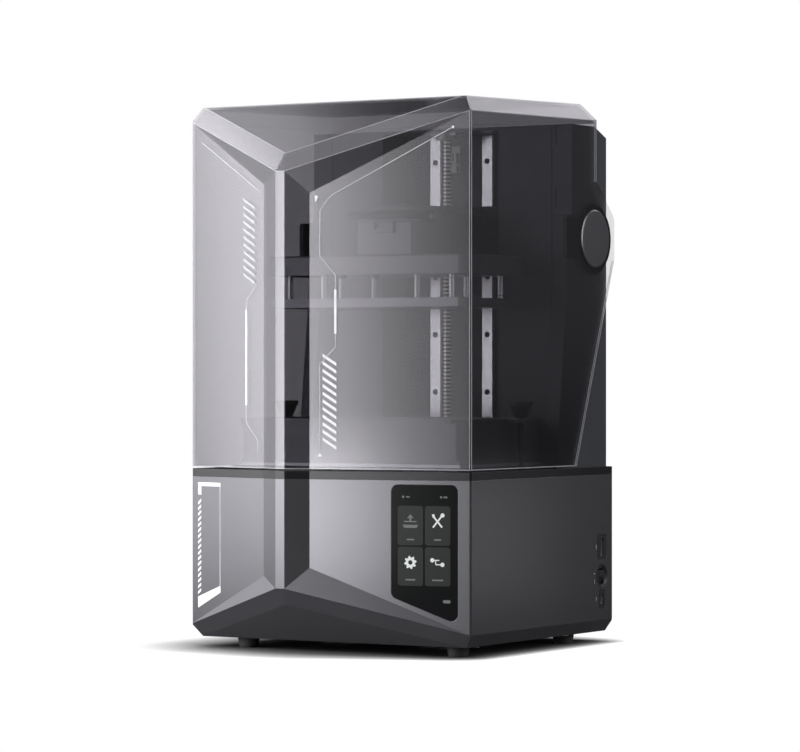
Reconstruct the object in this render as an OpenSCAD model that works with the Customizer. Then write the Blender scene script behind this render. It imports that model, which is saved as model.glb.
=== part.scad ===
// Resin 3D printer: a gem-cut base and a flip-up clear cover around a twin-rail lift, a vat on a
// tilting bed, and the light engine under it. X runs to the right, Y to the back, Z up, and the
// origin is on the floor under the middle of the outline.

/* [Overall] */
// Width across the flat side panels
body_w = 325.4; // [320:0.1:340]
// Depth from the front ridge to the back of the hinge ears
overall_d = 329.2; // [324:0.1:340]
// Height to the back edge of the roof
overall_h = 548; // [544:0.5:570]

/* [Base] */
// Height of the rubber feet
foot_h = 10.3; // [8:0.1:14]
// Diameter of the rubber feet
foot_dia = 22.5; // [18:0.5:26]
// Height of the base shell alone
base_h = 160.9; // [156:0.1:166]
// Height of the dark ledge ring on the base shell
ledge_h = 8; // [7:0.5:10]
// Wall of the base shell
base_wall = 2.5; // [2:0.1:3.5]
// How far the bevels reach in along the bottom and the roof
bevel_in = 9.1; // [7:0.1:11]
// Height of the bottom side bevel
bevel_rise = 12.6; // [10:0.1:15]
// Chamfer on the upright corners
corner_cut = 1.6; // [1:0.1:3]

/* [Gem-cut front] */
// Distance from the ridge back to the front corners
corner_back = 38.2; // [34:0.1:42]
// Place of the ridge's centre across the front
ridge_x = -31.6; // [-40:0.1:-20]
// Width of the ridge's flat
ridge_w = 10.3; // [7:0.1:14]
// Width of the ridge's left bevel
left_bevel_w = 19.9; // [17:0.1:23]
// Width of the ridge's right bevel
right_bevel_w = 22.6; // [19:0.1:25]
// Angle of both ridge bevels
ridge_angle = 25; // [22:0.5:28]
// Height of the ridge's lower end above the base's underside
low_ridge = 53.7; // [48:0.1:58]
// Height of the left panel's lowest inner corner above the base's underside
low_left = 65; // [62:0.1:70]
// Height of the right panel's lowest inner corner above the base's underside
low_right = 74.3; // [70:0.1:80]
// Height of the keel point above the base's underside
low_keel = 37.6; // [34:0.1:42]
// Distance from the ridge back to the keel point
keel_back = 9.3; // [7:0.1:12]
// Distance from the ridge back to the underside's front edge
under_back = 45.1; // [42:0.1:48]

/* [Cover] */
// Wall of the clear cover
cover_wall = 2.5; // [2:0.1:3]
// Gap between the ledge and the closed cover
cover_gap = 1.8; // [1:0.1:3]
// Fall of the roof from its back edge to its front edge
roof_fall = 6.6; // [4:0.1:9]
// Drop from the roof's back edge to the top of the front corners
high_corner = 21.2; // [18:0.1:24]
// Drop from the roof's back edge to the top of the side panels at the back
high_back = 15.7; // [13:0.1:18]
// Drop from the roof's back edge to the ridge's upper end
high_ridge = 75.8; // [72:0.1:80]
// Drop from the roof's back edge to the left panel's highest inner corner
high_left = 87.9; // [84:0.1:92]
// Drop from the roof's back edge to the right panel's highest inner corner
high_right = 97.5; // [93:0.1:102]
// Drop from the roof's back edge to the upper keel point
high_keel = 57.6; // [54:0.1:61]
// Distance from the back of the ears to the side panel's upright back edge
cover_back_in = 38.3; // [34.6:0.1:40.6]
// Depth of the bevel behind the roof
back_bevel = 16.2; // [13:0.1:19]
// Distance from the back of the ears to the foot of the slanted side edge
slant_in = 80.3; // [74.6:0.1:84.6]
// Height over the hinge axis where the ear's back turns forward
ear_rise = 22.8; // [20:0.1:26]
// Height over the hinge axis where the ear meets the upright back edge
ear_neck = 58.2; // [54:0.1:62]
// Radius of the ear's corners
ear_corner = 12; // [8:0.5:16]

/* [Hinge] */
// Distance from the back of the ears to the hinge axis
hinge_in = 41.7; // [39.6:0.1:43.6]
// Height of the hinge axis over the deck
hinge_rise = 232; // [226:0.5:238]
// Radius of the hinge pins
hinge_pin_r = 9; // [7:0.1:11]
// Radius of the round hinge caps
cap_r = 29.6; // [26:0.1:31]
// Radius of the round end of the hinge arms
hinge_arm_r = 33.8; // [32.5:0.1:36]
// Distance that the caps stand proud of the side panels
cap_proud = 1; // [0.5:0.1:2]

/* [Tower] */
// Gap between the side panels' outside and the tower's sides
tower_inset = 7.7; // [7.2:0.1:9]
// Distance from the roof down to the tower's top
tower_drop = 21.5; // [21:0.1:26]
// Distance from the back of the ears to the tower's front
tower_in = 76.6; // [74.6:0.1:78.6]
// How far the cheeks reach in front of the tower at the deck
cheek_reach = 31.5; // [28:0.1:34]
// Thickness of the cheeks
cheek_t = 15; // [12:0.5:16]
// Half width of the open recess
recess_half = 69.5; // [64:0.5:74]
// Distance from the back of the ears to the recess's back wall
recess_in = 25.9; // [23.6:0.1:28.6]
// Wall of the tower
tower_wall = 3; // [2.5:0.1:3.5]

/* [Lift] */
// Distance between the two rails
rail_spacing = 62.6; // [58:0.1:70]
// Width of a rail
rail_w = 12; // [10:0.1:14]
// Height of a rail off the wall
rail_t = 8; // [7:0.1:9]
// Height of the rails' lower ends over the deck
rail_foot = 49.8; // [46:0.1:54]
// Distance between the rail screws
rail_pitch = 60; // [50:1:70]
// Diameter of the lead screw
screw_dia = 8; // [6:0.1:10]
// Distance from the back of the ears to the lead screw
screw_in = 62.4; // [61.6:0.1:64.1]
// Thickness of the carriage plate
carriage_t = 6; // [5:0.1:7]
// Height of the build plate's underside over the deck, as drawn
platform_rise = 161.1; // [156:0.1:170]

/* [Build platform] */
// Width of the platform
platform_w = 225.6; // [210:0.1:232]
// Depth of the platform
platform_d = 123.6; // [116:0.1:128]
// Distance from the lead screw forward to the platform's centre
platform_out = 102.8; // [101.2:0.1:104.2]
// Thickness of the build plate
plate_t = 9.1; // [7:0.1:11]
// Clear height between the build plate and the pan
pillar_h = 23.4; // [18:0.1:26]
// Diameter of the bright pillars
pillar_dia = 5.5; // [4:0.1:8]
// Height of the pan
pan_h = 19.9; // [16:0.1:22]
// Height of the mount block on the pan
block_h = 34; // [32:0.1:36]
// Width of the mount block and of the arm
block_w = 71.6; // [66:0.1:78]
// Width of the hood over the mount block
hood_w = 60; // [52:0.1:62]

/* [Vat and bed] */
// Distance from the side panels' outside to the vat's rim
vat_side = 31.7; // [29.7:0.1:34.7]
// Distance from the front corners back to the vat's front
vat_front_in = 35.7; // [33.4:0.1:38.4]
// Gap between the vat's back and the tower's front
vat_gap = 16; // [12:0.1:17]
// Height of the vat's rim over the deck
vat_rim = 50.4; // [46:0.1:56]
// Wall of the vat
vat_wall = 3; // [2.5:0.1:4]
// Diameter of the thumb screws' caps
thumb_dia = 24; // [20:0.5:28]
// Distance from the vat's back to the thumb screws
thumb_in = 60.5; // [56:0.1:66]
// Thickness of the tilting frame
bed_t = 10; // [9:0.1:12]
// Height that the tilting frame stands over the deck
bed_proud = 3; // [2.5:0.1:4]

/* [Touch screen] */
// Width of the screen glass
screen_w = 69.2; // [60:0.1:76]
// Distance from the right front corner to the glass
screen_side = 13.5; // [10:0.1:18]
// Distance from the ledge down to the glass
screen_drop = 4.2; // [3:0.1:8]
// Distance from the panel's slanted lower edge up to the glass
screen_lift = 5.3; // [4:0.1:8]
// Radius of the glass's corners
screen_r = 7; // [4:0.5:9]
// Thickness of the glass
glass_t = 1.2; // [1:0.1:1.6]

/* [Side ports] */
// Distance from the back of the ears to the middle of the ports
port_in = 27; // [24.6:0.1:30.6]
// Height of the memory-stick port
port_z = 97.5; // [94:0.5:102]
// Height of the power switch
switch_z = 67.6; // [65:0.1:70]
// Height of the service port
service_z = 44.6; // [42:0.1:46]
// Diameter of the switch's round recess
switch_dia = 24; // [22:0.1:25]

/* [Hidden] */
$fn = 48;

// Gaps between pieces
seat_gap = 0.15;      // around a piece that sits in a recess
run_gap = 0.05;       // radial, around a shaft that turns or slides
slide_gap = 0.3;      // between faces that pass each other
reach = 700;          // longer than any cut needs to be
cut = 1;              // how far a cutter runs past a face

half_w = body_w / 2;
ridge_y = -overall_d / 2;
ear_y = overall_d / 2;
base_back = ear_y - 3.5;
corner_y = ridge_y + corner_back;
base_top = foot_h + base_h;
deck_z = base_top + ledge_h;
cover_z = deck_z + cover_gap;
hinge_z = deck_z + hinge_rise;

// Places front to back, from the back of the ears or from the front corners
cover_back = ear_y - cover_back_in;
slant_foot = ear_y - slant_in;
hinge_y = ear_y - hinge_in;
tower_front = ear_y - tower_in;
cheek_foot = tower_front - cheek_reach;
recess_back = ear_y - recess_in;
screw_y = ear_y - screw_in;
platform_y = screw_y - platform_out;
port_y = ear_y - port_in;
vat_w = body_w - 2 * vat_side;
vat_front = corner_y + vat_front_in;
vat_back = tower_front - vat_gap;
thumb_y = vat_back - thumb_in;

// Plan points of the front, from the left corner to the right corner
ridge_l = [ridge_x - ridge_w / 2, ridge_y];
ridge_r = [ridge_x + ridge_w / 2, ridge_y];
foot_l = ridge_l + [-left_bevel_w, left_bevel_w * tan(ridge_angle)];
foot_r = ridge_r + [right_bevel_w, right_bevel_w * tan(ridge_angle)];
corner_l = [-half_w, corner_y];
corner_r = [half_w, corner_y];
left_slope = (corner_y - foot_l[1]) / (foot_l[0] + half_w);
right_slope = (corner_y - foot_r[1]) / (half_w - foot_r[0]);

function at(plan, z) = [plan[0], plan[1], z];
function upright(a, b) = [at(a, 0), at(b, 0), at(a, 100)];

// Facet planes, each through three points, for the lower and the upper end of the front
keel = [ridge_x, ridge_y + keel_back];
under_front = ridge_y + under_back;
roof_back_y = cover_back - back_bevel;
roof_front_z = overall_h - roof_fall;
left_panel = upright(corner_l, foot_l);
right_panel = upright(foot_r, corner_r);
left_flank = upright(foot_l, ridge_l);
right_flank = upright(ridge_r, foot_r);

function slope_left(z_foot, z_ridge, z_corner) =
    [at(foot_l, z_foot), at(ridge_l, z_ridge), at(corner_l, z_corner)];
function slope_right(z_foot, z_ridge, z_corner) =
    [at(foot_r, z_foot), at(ridge_r, z_ridge), at(corner_r, z_corner)];
function bands(z_ridge, z_keel, z_corner, z_end) = [
    [at(ridge_l, z_ridge), at(keel, z_keel), at(corner_l, z_corner)],
    [at(ridge_r, z_ridge), at(keel, z_keel), at(corner_r, z_corner)],
    [at(ridge_l, z_ridge), at(ridge_r, z_ridge), at(keel, z_keel)],
    [at(keel, z_keel), [0, under_front, z_end], [reach, under_front, z_end]]
];
function corner_bevel(side, slope) = [
    [side * half_w, corner_y + corner_cut, 0],
    [side * (half_w - corner_cut), corner_y - corner_cut * slope, 0],
    [side * half_w, corner_y + corner_cut, 100]
];
function back_corner_bevel(side) = [
    [side * half_w, base_back - corner_cut, 0],
    [side * (half_w - corner_cut), base_back, 0],
    [side * half_w, base_back - corner_cut, 100]
];
front_bevels = [corner_bevel(-1, left_slope), corner_bevel(1, right_slope)];
back_bevels = [back_corner_bevel(-1), back_corner_bevel(1)];
low_slope_left = slope_left(foot_h + low_left, foot_h + low_ridge, foot_h + bevel_rise);
low_slope_right = slope_right(foot_h + low_right, foot_h + low_ridge, foot_h + bevel_rise);
low_planes = concat(
    bands(foot_h + low_ridge, foot_h + low_keel, foot_h + bevel_rise, foot_h),
    [for (side = [-1, 1])
        [[side * half_w, 0, foot_h + bevel_rise], [side * half_w, 100, foot_h + bevel_rise],
         [side * (half_w - bevel_in), 0, foot_h]]]
);
high_slope_left = slope_left(overall_h - high_left, overall_h - high_ridge, overall_h - high_corner);
high_slope_right = slope_right(overall_h - high_right, overall_h - high_ridge, overall_h - high_corner);
high_planes = concat(
    bands(overall_h - high_ridge, overall_h - high_keel, overall_h - high_corner, roof_front_z),
    [for (side = [-1, 1])
        [[side * half_w, corner_y, overall_h - high_corner],
         [side * half_w, cover_back, overall_h - high_back],
         [side * (half_w - bevel_in), under_front, roof_front_z]]],
    [[[0, under_front, roof_front_z], [100, under_front, roof_front_z], [0, roof_back_y, overall_h]],
     [[0, roof_back_y, overall_h], [100, roof_back_y, overall_h],
      [0, cover_back, overall_h - high_back]]]
);

// The half space beyond a facet plane, with the plane moved towards the inside by inset
module beyond(plane, inset = 0) {
    raw = cross(plane[1] - plane[0], plane[2] - plane[0]);
    inside = [0, 50, 300];
    n = raw / norm(raw) * (raw * (plane[0] - inside) > 0 ? 1 : -1);
    translate(plane[0] - n * inset) rotate([0, acos(n[2]), atan2(n[1], n[0])])
        translate([-reach, -reach, 0]) cube([2 * reach, 2 * reach, reach]);
}

// The shallow pocket in front of one flat panel
module pocket(panel, flank, slope, inset) {
    intersection() {
        beyond(panel, inset);
        beyond(flank, inset);
        beyond(slope, inset);
    }
}

// The base as one solid between two heights, with every facet moved in by inset
module base_form(inset, z0, z1) {
    difference() {
        translate([-half_w + inset, ridge_y + inset, z0])
            cube([body_w - 2 * inset, base_back - ridge_y - 2 * inset, z1 - z0]);
        for (plane = concat(low_planes, front_bevels, back_bevels)) beyond(plane, inset);
        pocket(left_panel, left_flank, low_slope_left, inset);
        pocket(right_panel, right_flank, low_slope_right, inset);
    }
}

// The cover as one solid from z0 up, with every facet moved in by inset
module cover_form(inset, z0, y1) {
    difference() {
        translate([-half_w + inset, ridge_y + inset, z0])
            cube([body_w - 2 * inset, y1 - ridge_y - inset, overall_h - z0]);
        for (plane = concat(high_planes, front_bevels)) beyond(plane, inset);
        pocket(left_panel, left_flank, high_slope_left, inset);
        pocket(right_panel, right_flank, high_slope_right, inset);
    }
}

// Plan outline of the ledge, anticlockwise from the left front corner
plan_outline = [
    corner_l + corner_cut * [1, -left_slope], foot_l, ridge_l, ridge_r, foot_r,
    corner_r + corner_cut * [-1, -right_slope], corner_r + [0, corner_cut],
    [half_w, base_back - corner_cut], [half_w - corner_cut, base_back],
    [-half_w + corner_cut, base_back], [-half_w, base_back - corner_cut],
    corner_l + [0, corner_cut]
];

plan_sharp = [
    corner_l, foot_l, ridge_l, ridge_r, foot_r, corner_r, [half_w, base_back], [-half_w, base_back]
];

// A corner of an anticlockwise outline, moved in by t from both of its edges
function edge_out(a, b) = [b[1] - a[1], a[0] - b[0]] / norm(b - a);
function inset_corner(a, b, c, t) =
    let (n = edge_out(a, b), m = edge_out(b, c)) b - t * (n + m) / (1 + n * m);
function inset_outline(points, t) = let (n = len(points))
    [for (i = [0:n - 1]) inset_corner(points[(i + n - 1) % n], points[i], points[(i + 1) % n], t)];

// An outline with true round corners of radius r
module rounded_outline(points, r) {
    n = len(points);
    centres = inset_outline(points, r);
    polygon([for (i = [0:n - 1], k = [0, 1])
        centres[i] + r * edge_out(points[(i + n - 1 + k) % n], points[(i + k) % n])]);
    for (c = centres) translate(c) circle(r);
}

// A rectangle from corner a to corner b with true round corners
module rounded_box(a, b, r) {
    rounded_outline([a, [b[0], a[1]], b, [a[0], b[1]]], r);
}

// A slab from corner a to corner b
module block(a, b) {
    translate(a) cube(b - a);
}

// A shape drawn in Y and Z, extruded along X from x0 to x1
module across(x0, x1) {
    translate([x0, 0, 0]) rotate([90, 0, 90]) linear_extrude(x1 - x0) children();
}

// A cylinder along X or Y
module rod_x(x0, x1, y, z, r) {
    translate([x0, y, z]) rotate([0, 90, 0]) cylinder(h = x1 - x0, r = r);
}
module rod_y(y0, y1, x, z, r) {
    translate([x, y0, z]) rotate([-90, 0, 0]) cylinder(h = y1 - y0, r = r);
}

module mirrored_x() {
    children();
    mirror([1, 0, 0]) children();
}

// A shape drawn in X and Z, extruded along Y from y0 to y1
module along(y0, y1) {
    translate([0, y1, 0]) rotate([90, 0, 0]) linear_extrude(y1 - y0) children();
}

// ---------------------------------------------------------------- base
under_t = 2;                          // sheet of the bottom plate
under_top = foot_h + under_t;
lug = 14;                             // side of the cube-like screw lugs
lug_h = 10;
m3_r = 1.5;
m3_clear_r = 1.75;
m3_head_r = 2.75;
lug_x = half_w - 15.7;                // the lugs and the posts stand in two rows
lug_y = [corner_y + 36.4, base_back - 71.1];
back_lug = [60, base_back - 9.1];
lug_spots = concat([for (y = lug_y, side = [-1, 1]) [side * lug_x, y]],
    [for (side = [-1, 1]) [side * back_lug[0], back_lug[1]]]);
foot_y = [corner_y + 24.4, base_back - 55.1];
foot_left = 52.7 - half_w;
foot_spots = [
    [half_w - 28.7, foot_y[0]], [foot_left, foot_y[0]],
    [half_w - 27.7, foot_y[1]], [foot_left, foot_y[1]]
];

// Ports on the right side: [height, width, tall, corner radius]
usb_frame = [20, 26, 4];
usb_slot = [6, 19];
service_frame = [13, 20, 3];
service_slot = [6, 10];
wall_in = half_w - base_wall;

// Things on the back wall
inlet_at = [44.7 - half_w, 46];
inlet_size = [48, 27.5];
fan_at = [half_w - 96.7, 96];
fan_size = 60;
fan_depth = 15;
grille_r = 28;

module side_shape(z, size) {
    rounded_box([port_y - size[0] / 2, z - size[1] / 2], [port_y + size[0] / 2, z + size[1] / 2], size[2]);
}

module base_shell() {
    color("#7d848d") difference() {
        union() {
            difference() {
                base_form(0, foot_h, base_top);
                base_form(base_wall, foot_h - cut, base_top + cut);
            }
            for (p = lug_spots) translate([p[0] - lug / 2, p[1] - lug / 2, under_top])
                cube([lug, lug, lug_h]);
        }
        for (p = lug_spots) translate([p[0], p[1], foot_h]) cylinder(h = lug_h, r = m3_r);
        on_right_panel(0) linear_extrude(glass_t) screen_outline(0);
        on_right_panel(0) linear_extrude(base_wall + cut) screen_outline(screen_lip);
        across(wall_in - cut, half_w + cut) {
            side_shape(port_z, usb_frame);
            side_shape(service_z, service_frame);
            translate([port_y, switch_z]) circle(switch_dia / 2);
        }
        along(base_back - base_wall - cut, base_back + cut) {
            translate(inlet_at) square(inlet_size, center = true);
            fan_grille();
        }
    }
}

// Ring slots in the back wall in front of the fan
module fan_grille() {
    translate(fan_at) difference() {
        for (r = [10:6:grille_r]) difference() {
            circle(r + 1.8);
            circle(r - 1.8);
        }
        for (turn = [45, 135]) rotate(turn) square([2.4 * grille_r, 4], center = true);
    }
}

// Dark ring between the base and the cover, with a rebate that holds the deck plate
ring_in = 9;
rebate_in = 4.5;
deck_t = 3;

module ledge_frame() {
    color("#3a3e44") difference() {
        translate([0, 0, base_top]) linear_extrude(ledge_h) polygon(plan_outline);
        translate([0, 0, base_top - cut]) linear_extrude(ledge_h + 2 * cut)
            polygon(inset_outline(plan_sharp, ring_in));
        translate([0, 0, deck_z - deck_t]) linear_extrude(deck_t + cut)
            polygon(inset_outline(plan_sharp, rebate_in));
    }
}

// ---------------------------------------------------------------- deck
bed_half = vat_w / 2 + 3;             // half width of the tilting frame
bed_front = vat_front - 7.3;
bed_back = vat_back + 8;
thumb_x = vat_w / 2 + 8.2;
bed_ear = [thumb_x + 7.8, 12];        // half width over the ears, half depth of an ear
bed_gap = 2;                          // room around the frame in the deck
pilot_r = 11;
motor_pitch = 31;                     // spacing of the lift motor's screws
motor_w = 42.3;
screw_r = screw_dia / 2;

module deck_plate() {
    color("#2b2e33") difference() {
        translate([0, 0, deck_z - deck_t]) linear_extrude(deck_t) difference() {
            polygon(inset_outline(plan_sharp, rebate_in + seat_gap));
            rounded_box([-bed_half - bed_gap, bed_front - bed_gap],
                [bed_half + bed_gap, bed_back + bed_gap], 4);
            translate([0, thumb_y]) square(2 * (bed_ear + [bed_gap, bed_gap]), center = true);
            translate([0, screw_y]) circle(pilot_r + seat_gap);
            for (x = [-1, 1], y = [-1, 1])
                translate([x * motor_pitch / 2, screw_y + y * motor_pitch / 2]) circle(m3_clear_r);
            for (p = post_spots) translate(p) circle(m3_clear_r);
        }
    }
}

post_y = [corner_y + 66.4, base_back - 99.1];
post_spots = [for (y = post_y, side = [-1, 1]) [side * lug_x, y]];
post_r = 4.5;

module deck_posts() {
    color("#b9bec4") for (p = post_spots) translate([p[0], p[1], under_top])
        cylinder(h = deck_z - deck_t - under_top, r = post_r, $fn = 6);
}

module bottom_plate() {
    gap = 0.3;
    edge = base_wall + gap;
    side = half_w - bevel_in - edge * norm([bevel_in, bevel_rise]) / bevel_rise;
    front_run = under_back - keel_back;
    front = under_front + edge * norm([front_run, low_keel]) / low_keel;
    color("#30343a") difference() {
        block([-side, front, foot_h], [side, base_back - edge, under_top]);
        for (p = lug_spots) translate([p[0], p[1], foot_h - cut])
            cylinder(h = under_t + 2 * cut, r = m3_clear_r);
        for (x = [-70:20:70]) rounded_slot([x, -30], [x, 30], 2, foot_h - cut, under_t + 2 * cut);
    }
}

// An upright cutter between two plan points, with round ends
module rounded_slot(a, b, r, z, h) {
    along_way = (b - a) / norm(b - a);
    side_way = r * [along_way[1], -along_way[0]];
    translate([0, 0, z]) linear_extrude(h) {
        polygon([a + side_way, b + side_way, b - side_way, a - side_way]);
        translate(a) circle(r);
        translate(b) circle(r);
    }
}

module feet() {
    color("#1c1d20") for (p = foot_spots) translate([p[0], p[1], 0]) {
        cylinder(h = 2, r1 = foot_dia / 2 - 2.2, r2 = foot_dia / 2 - 1.4);
        translate([0, 0, 2]) cylinder(h = foot_h - 2, r1 = foot_dia / 2 - 1.4, r2 = foot_dia / 2);
    }
}

// Pan-head screws of the bottom plate and of the tower's back cover
panel_t = 2;

module case_screws() {
    color("#c3c7cc") {
        for (p = lug_spots) translate([p[0], p[1], foot_h]) {
            translate([0, 0, -1.4]) cylinder(h = 1.4, r = m3_head_r);
            cylinder(h = lug_h, r = m3_r);
        }
        for (p = panel_screws) {
            rod_y(base_back + panel_t, base_back + panel_t + 1.3, p[0], p[1], m3_head_r);
            rod_y(base_back - 5, base_back + panel_t, p[0], p[1], m3_r);
        }
    }
}

// ---------------------------------------------------------------- touch screen
screen_lip = 3;                       // width of the lip that backs the glass
panel_run = norm(corner_r - foot_r);
panel_fall = (low_right - bevel_rise) / panel_run;
screen_top = base_top - screen_drop;

function screen_foot(s) = foot_h + bevel_rise + panel_fall * s + screen_lift;
screen_points = [
    [screen_side, screen_foot(screen_side)],
    [screen_side + screen_w, screen_foot(screen_side + screen_w)],
    [screen_side + screen_w, screen_top],
    [screen_side, screen_top]
];

// The frame of the right front panel: X runs left along it, Y up, and Z inwards
module on_right_panel(depth) {
    translate(corner_r) rotate(180 + atan(right_slope)) rotate([90, 0, 0])
        translate([0, 0, depth]) children();
}

module screen_outline(inset) {
    rounded_outline(inset_outline(screen_points, inset), screen_r - inset);
}

module screen_glass() {
    color("#16181c") on_right_panel(0) linear_extrude(glass_t) screen_outline(seat_gap);
}

// The screen's back: a plate behind the wall with a step that backs the glass in the window
module screen_module() {
    step_in = screen_lip + 1.8;
    color("#25282d") {
        on_right_panel(glass_t) linear_extrude(base_wall - glass_t)
            polygon(inset_outline(screen_points, step_in));
        on_right_panel(base_wall) linear_extrude(6) polygon(inset_outline(screen_points, 1));
    }
}

// ---------------------------------------------------------------- right side
flange_t = 1.5;

// Wall left between the switch and the ports above and below; the flanges behind it share that
web_above = port_z - usb_frame[1] / 2 - switch_z - switch_dia / 2;
web_below = switch_z - switch_dia / 2 - service_z - service_frame[1] / 2;
flange_lip = (min(web_above, web_below) - slide_gap) / 2;

rocker_w = 9;
rocker_h = 15;

// Frames of the two ports, each with a flange behind the wall
module side_bezel() {
    color("#22252a") {
        side_frame(port_z, usb_frame, usb_slot);
        side_frame(service_z, service_frame, service_slot);
    }
}

module side_frame(z, size, slot) {
    across(wall_in, half_w) difference() {
        side_shape(z, size - [2, 2, 0] * seat_gap);
        translate([port_y, z]) square(slot, center = true);
    }
    across(wall_in - flange_t, wall_in) difference() {
        side_shape(z, size + [2, 2, 0] * flange_lip);
        translate([port_y, z]) square(slot, center = true);
    }
}

// Round switch housing with a dished face and a bay for the rocker
module switch_body() {
    bay_d = 9;
    color("#1b1d20") difference() {
        union() {
            rod_x(wall_in, half_w, port_y, switch_z, switch_dia / 2 - seat_gap);
            rod_x(wall_in - flange_t, wall_in, port_y, switch_z, switch_dia / 2 + flange_lip);
            across(wall_in - 16, wall_in) translate([port_y, switch_z]) square([13, 19], center = true);
        }
        translate([half_w - 1.2, port_y, switch_z]) rotate([0, 90, 0])
            cylinder(h = 1.2 + cut, r1 = switch_dia / 2 - 2.6, r2 = switch_dia / 2 - 0.4);
        across(half_w - bay_d, half_w + cut) translate([port_y, switch_z])
            square([rocker_w + 2 * slide_gap, rocker_h + 2 * slide_gap], center = true);
        rod_x_side(rocker_w / 2 + 1.4, rocker_axis_x);
    }
}

// The rocker turns on two stub pins along Y
rocker_axis_x = half_w - 4.5;
rocker_pin_r = 1;

module rod_x_side(reach_y, x) {
    rod_y(port_y - reach_y, port_y + reach_y, x, switch_z, rocker_pin_r + run_gap);
}

module power_rocker() {
    face_x = 2.6;                     // how far the face stands off the axis
    color("#2a2c30") {
        along(port_y - rocker_w / 2, port_y + rocker_w / 2) translate([rocker_axis_x, switch_z])
            rotate(-8) polygon([
                [-1.8, -rocker_h / 2 + 2.2], [face_x - 0.2, -rocker_h / 2 + 0.9], [face_x + 0.9, 0],
                [face_x - 0.2, rocker_h / 2 - 0.9], [-1.8, rocker_h / 2 - 2.2]
            ]);
        rod_y(port_y - rocker_w / 2 - 1.2, port_y + rocker_w / 2 + 1.2,
            rocker_axis_x, switch_z, rocker_pin_r);
    }
}

// Bright shells and tongues of the two ports
module side_ports() {
    color("#c9cdd2") {
        port_shell(port_z, usb_slot, 18, -1);
        port_shell(service_z, service_slot, 12, 0);
    }
}

module port_shell(z, slot, depth, shift) {
    shell_t = 0.5;
    tongue = 1.6;
    recess = 1;
    across(half_w - recess - depth, half_w - recess) translate([port_y, z]) difference() {
        square(slot, center = true);
        square(slot - 2 * [shell_t, shell_t], center = true);
    }
    across(half_w - recess - depth, half_w - recess - 1.5) translate([port_y + shift, z])
        square([tongue, slot[1] - 4], center = true);
    across(half_w - recess - depth - shell_t, half_w - recess - depth) translate([port_y, z])
        square(slot, center = true);
}

// ---------------------------------------------------------------- back wall
module power_inlet() {
    flange = [58, 36];
    color("#1e2023") difference() {
        union() {
            along(base_back, base_back + 2) translate(inlet_at) square(flange, center = true);
            along(base_back - 26, base_back) translate(inlet_at)
                square(inlet_size - 2 * [seat_gap, seat_gap], center = true);
        }
        along(base_back - 16, base_back + 2 + cut) translate(inlet_at + [-6, 0]) difference() {
            square([30, 22], center = true);
            for (x = [-7, 0, 7]) translate([x, x == 0 ? 3 : -2]) square([2, 5], center = true);
        }
    }
}

module fan_frame() {
    y1 = base_back - base_wall;
    web = 1.6;
    color("#222428") {
        along(y1 - fan_depth, y1) translate(fan_at) difference() {
            square(fan_size, center = true);
            circle(fan_size / 2 - 1.5);
        }
        along(y1 - fan_depth, y1 - fan_depth + web) translate(fan_at) {
            difference() {
                for (turn = [0, 60, 120]) rotate(turn) square([fan_size - 2, 3], center = true);
                circle(fan_hub_r - 4);
            }
            difference() {
                circle(fan_hub_r);
                circle(fan_pin_r);
            }
        }
        rod_y(y1 - fan_depth, y1 - 5, fan_at[0], fan_at[1], fan_pin_r);
    }
}

fan_hub_r = 12;
fan_pin_r = 1.5;

module fan_rotor() {
    y1 = base_back - base_wall;
    blade_r = fan_size / 2 - 2.6;
    color("#34373c") translate([fan_at[0], 0, fan_at[1]]) difference() {
        union() {
            rod_y(y1 - fan_depth + 2, y1 - 3, 0, 0, fan_hub_r);
            intersection() {
                rod_y(y1 - fan_depth + 3, y1 - 3.5, 0, 0, blade_r);
                for (turn = [0:360 / 7:359]) rotate([0, turn, 0]) translate([0, y1 - 8, 0])
                    rotate([0, 0, 32]) translate([-0.7, -12, 0]) cube([1.4, 24, 2 * blade_r]);
            }
        }
        rod_y(y1 - fan_depth, y1 - 4.7, 0, 0, fan_pin_r + run_gap);
    }
}

// ---------------------------------------------------------------- tower
tower_half = half_w - tower_inset;
tower_top = overall_h - tower_drop;
recess_top = tower_top - tower_wall;
bench = recess_back + 3;              // back face of the recess's wall
cheek_top = hinge_z + 24.2;
cheek_mid = hinge_z - 44.4;
cheek_face = tower_front - 9.7;
chamfer_y = base_back - 25.1;
chamfer_drop = 10.5;

// Opening in the tower's back, and the cover that its screws hold over it
hatch_in = 25;                      // tower's side to the opening
hatch_z = [deck_z + 30, tower_top - 32];
panel_in = 9;                         // tower's side to the cover's edge
panel_z = [deck_z + 14, tower_top - 19];
panel_screw_x = tower_half - 14;
panel_screw_z = [deck_z + 20.8, tower_top - 26.5];
panel_screws = [
    for (z = [panel_screw_z[0], (panel_screw_z[0] + panel_screw_z[1]) / 2, panel_screw_z[1]],
        side = [-1, 1]) [side * panel_screw_x, z]
];

// Seam and shallow notches in the tower's front
seam_x = tower_half - 23.4;
notch_x = [tower_half - 19, tower_half - 5];

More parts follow.
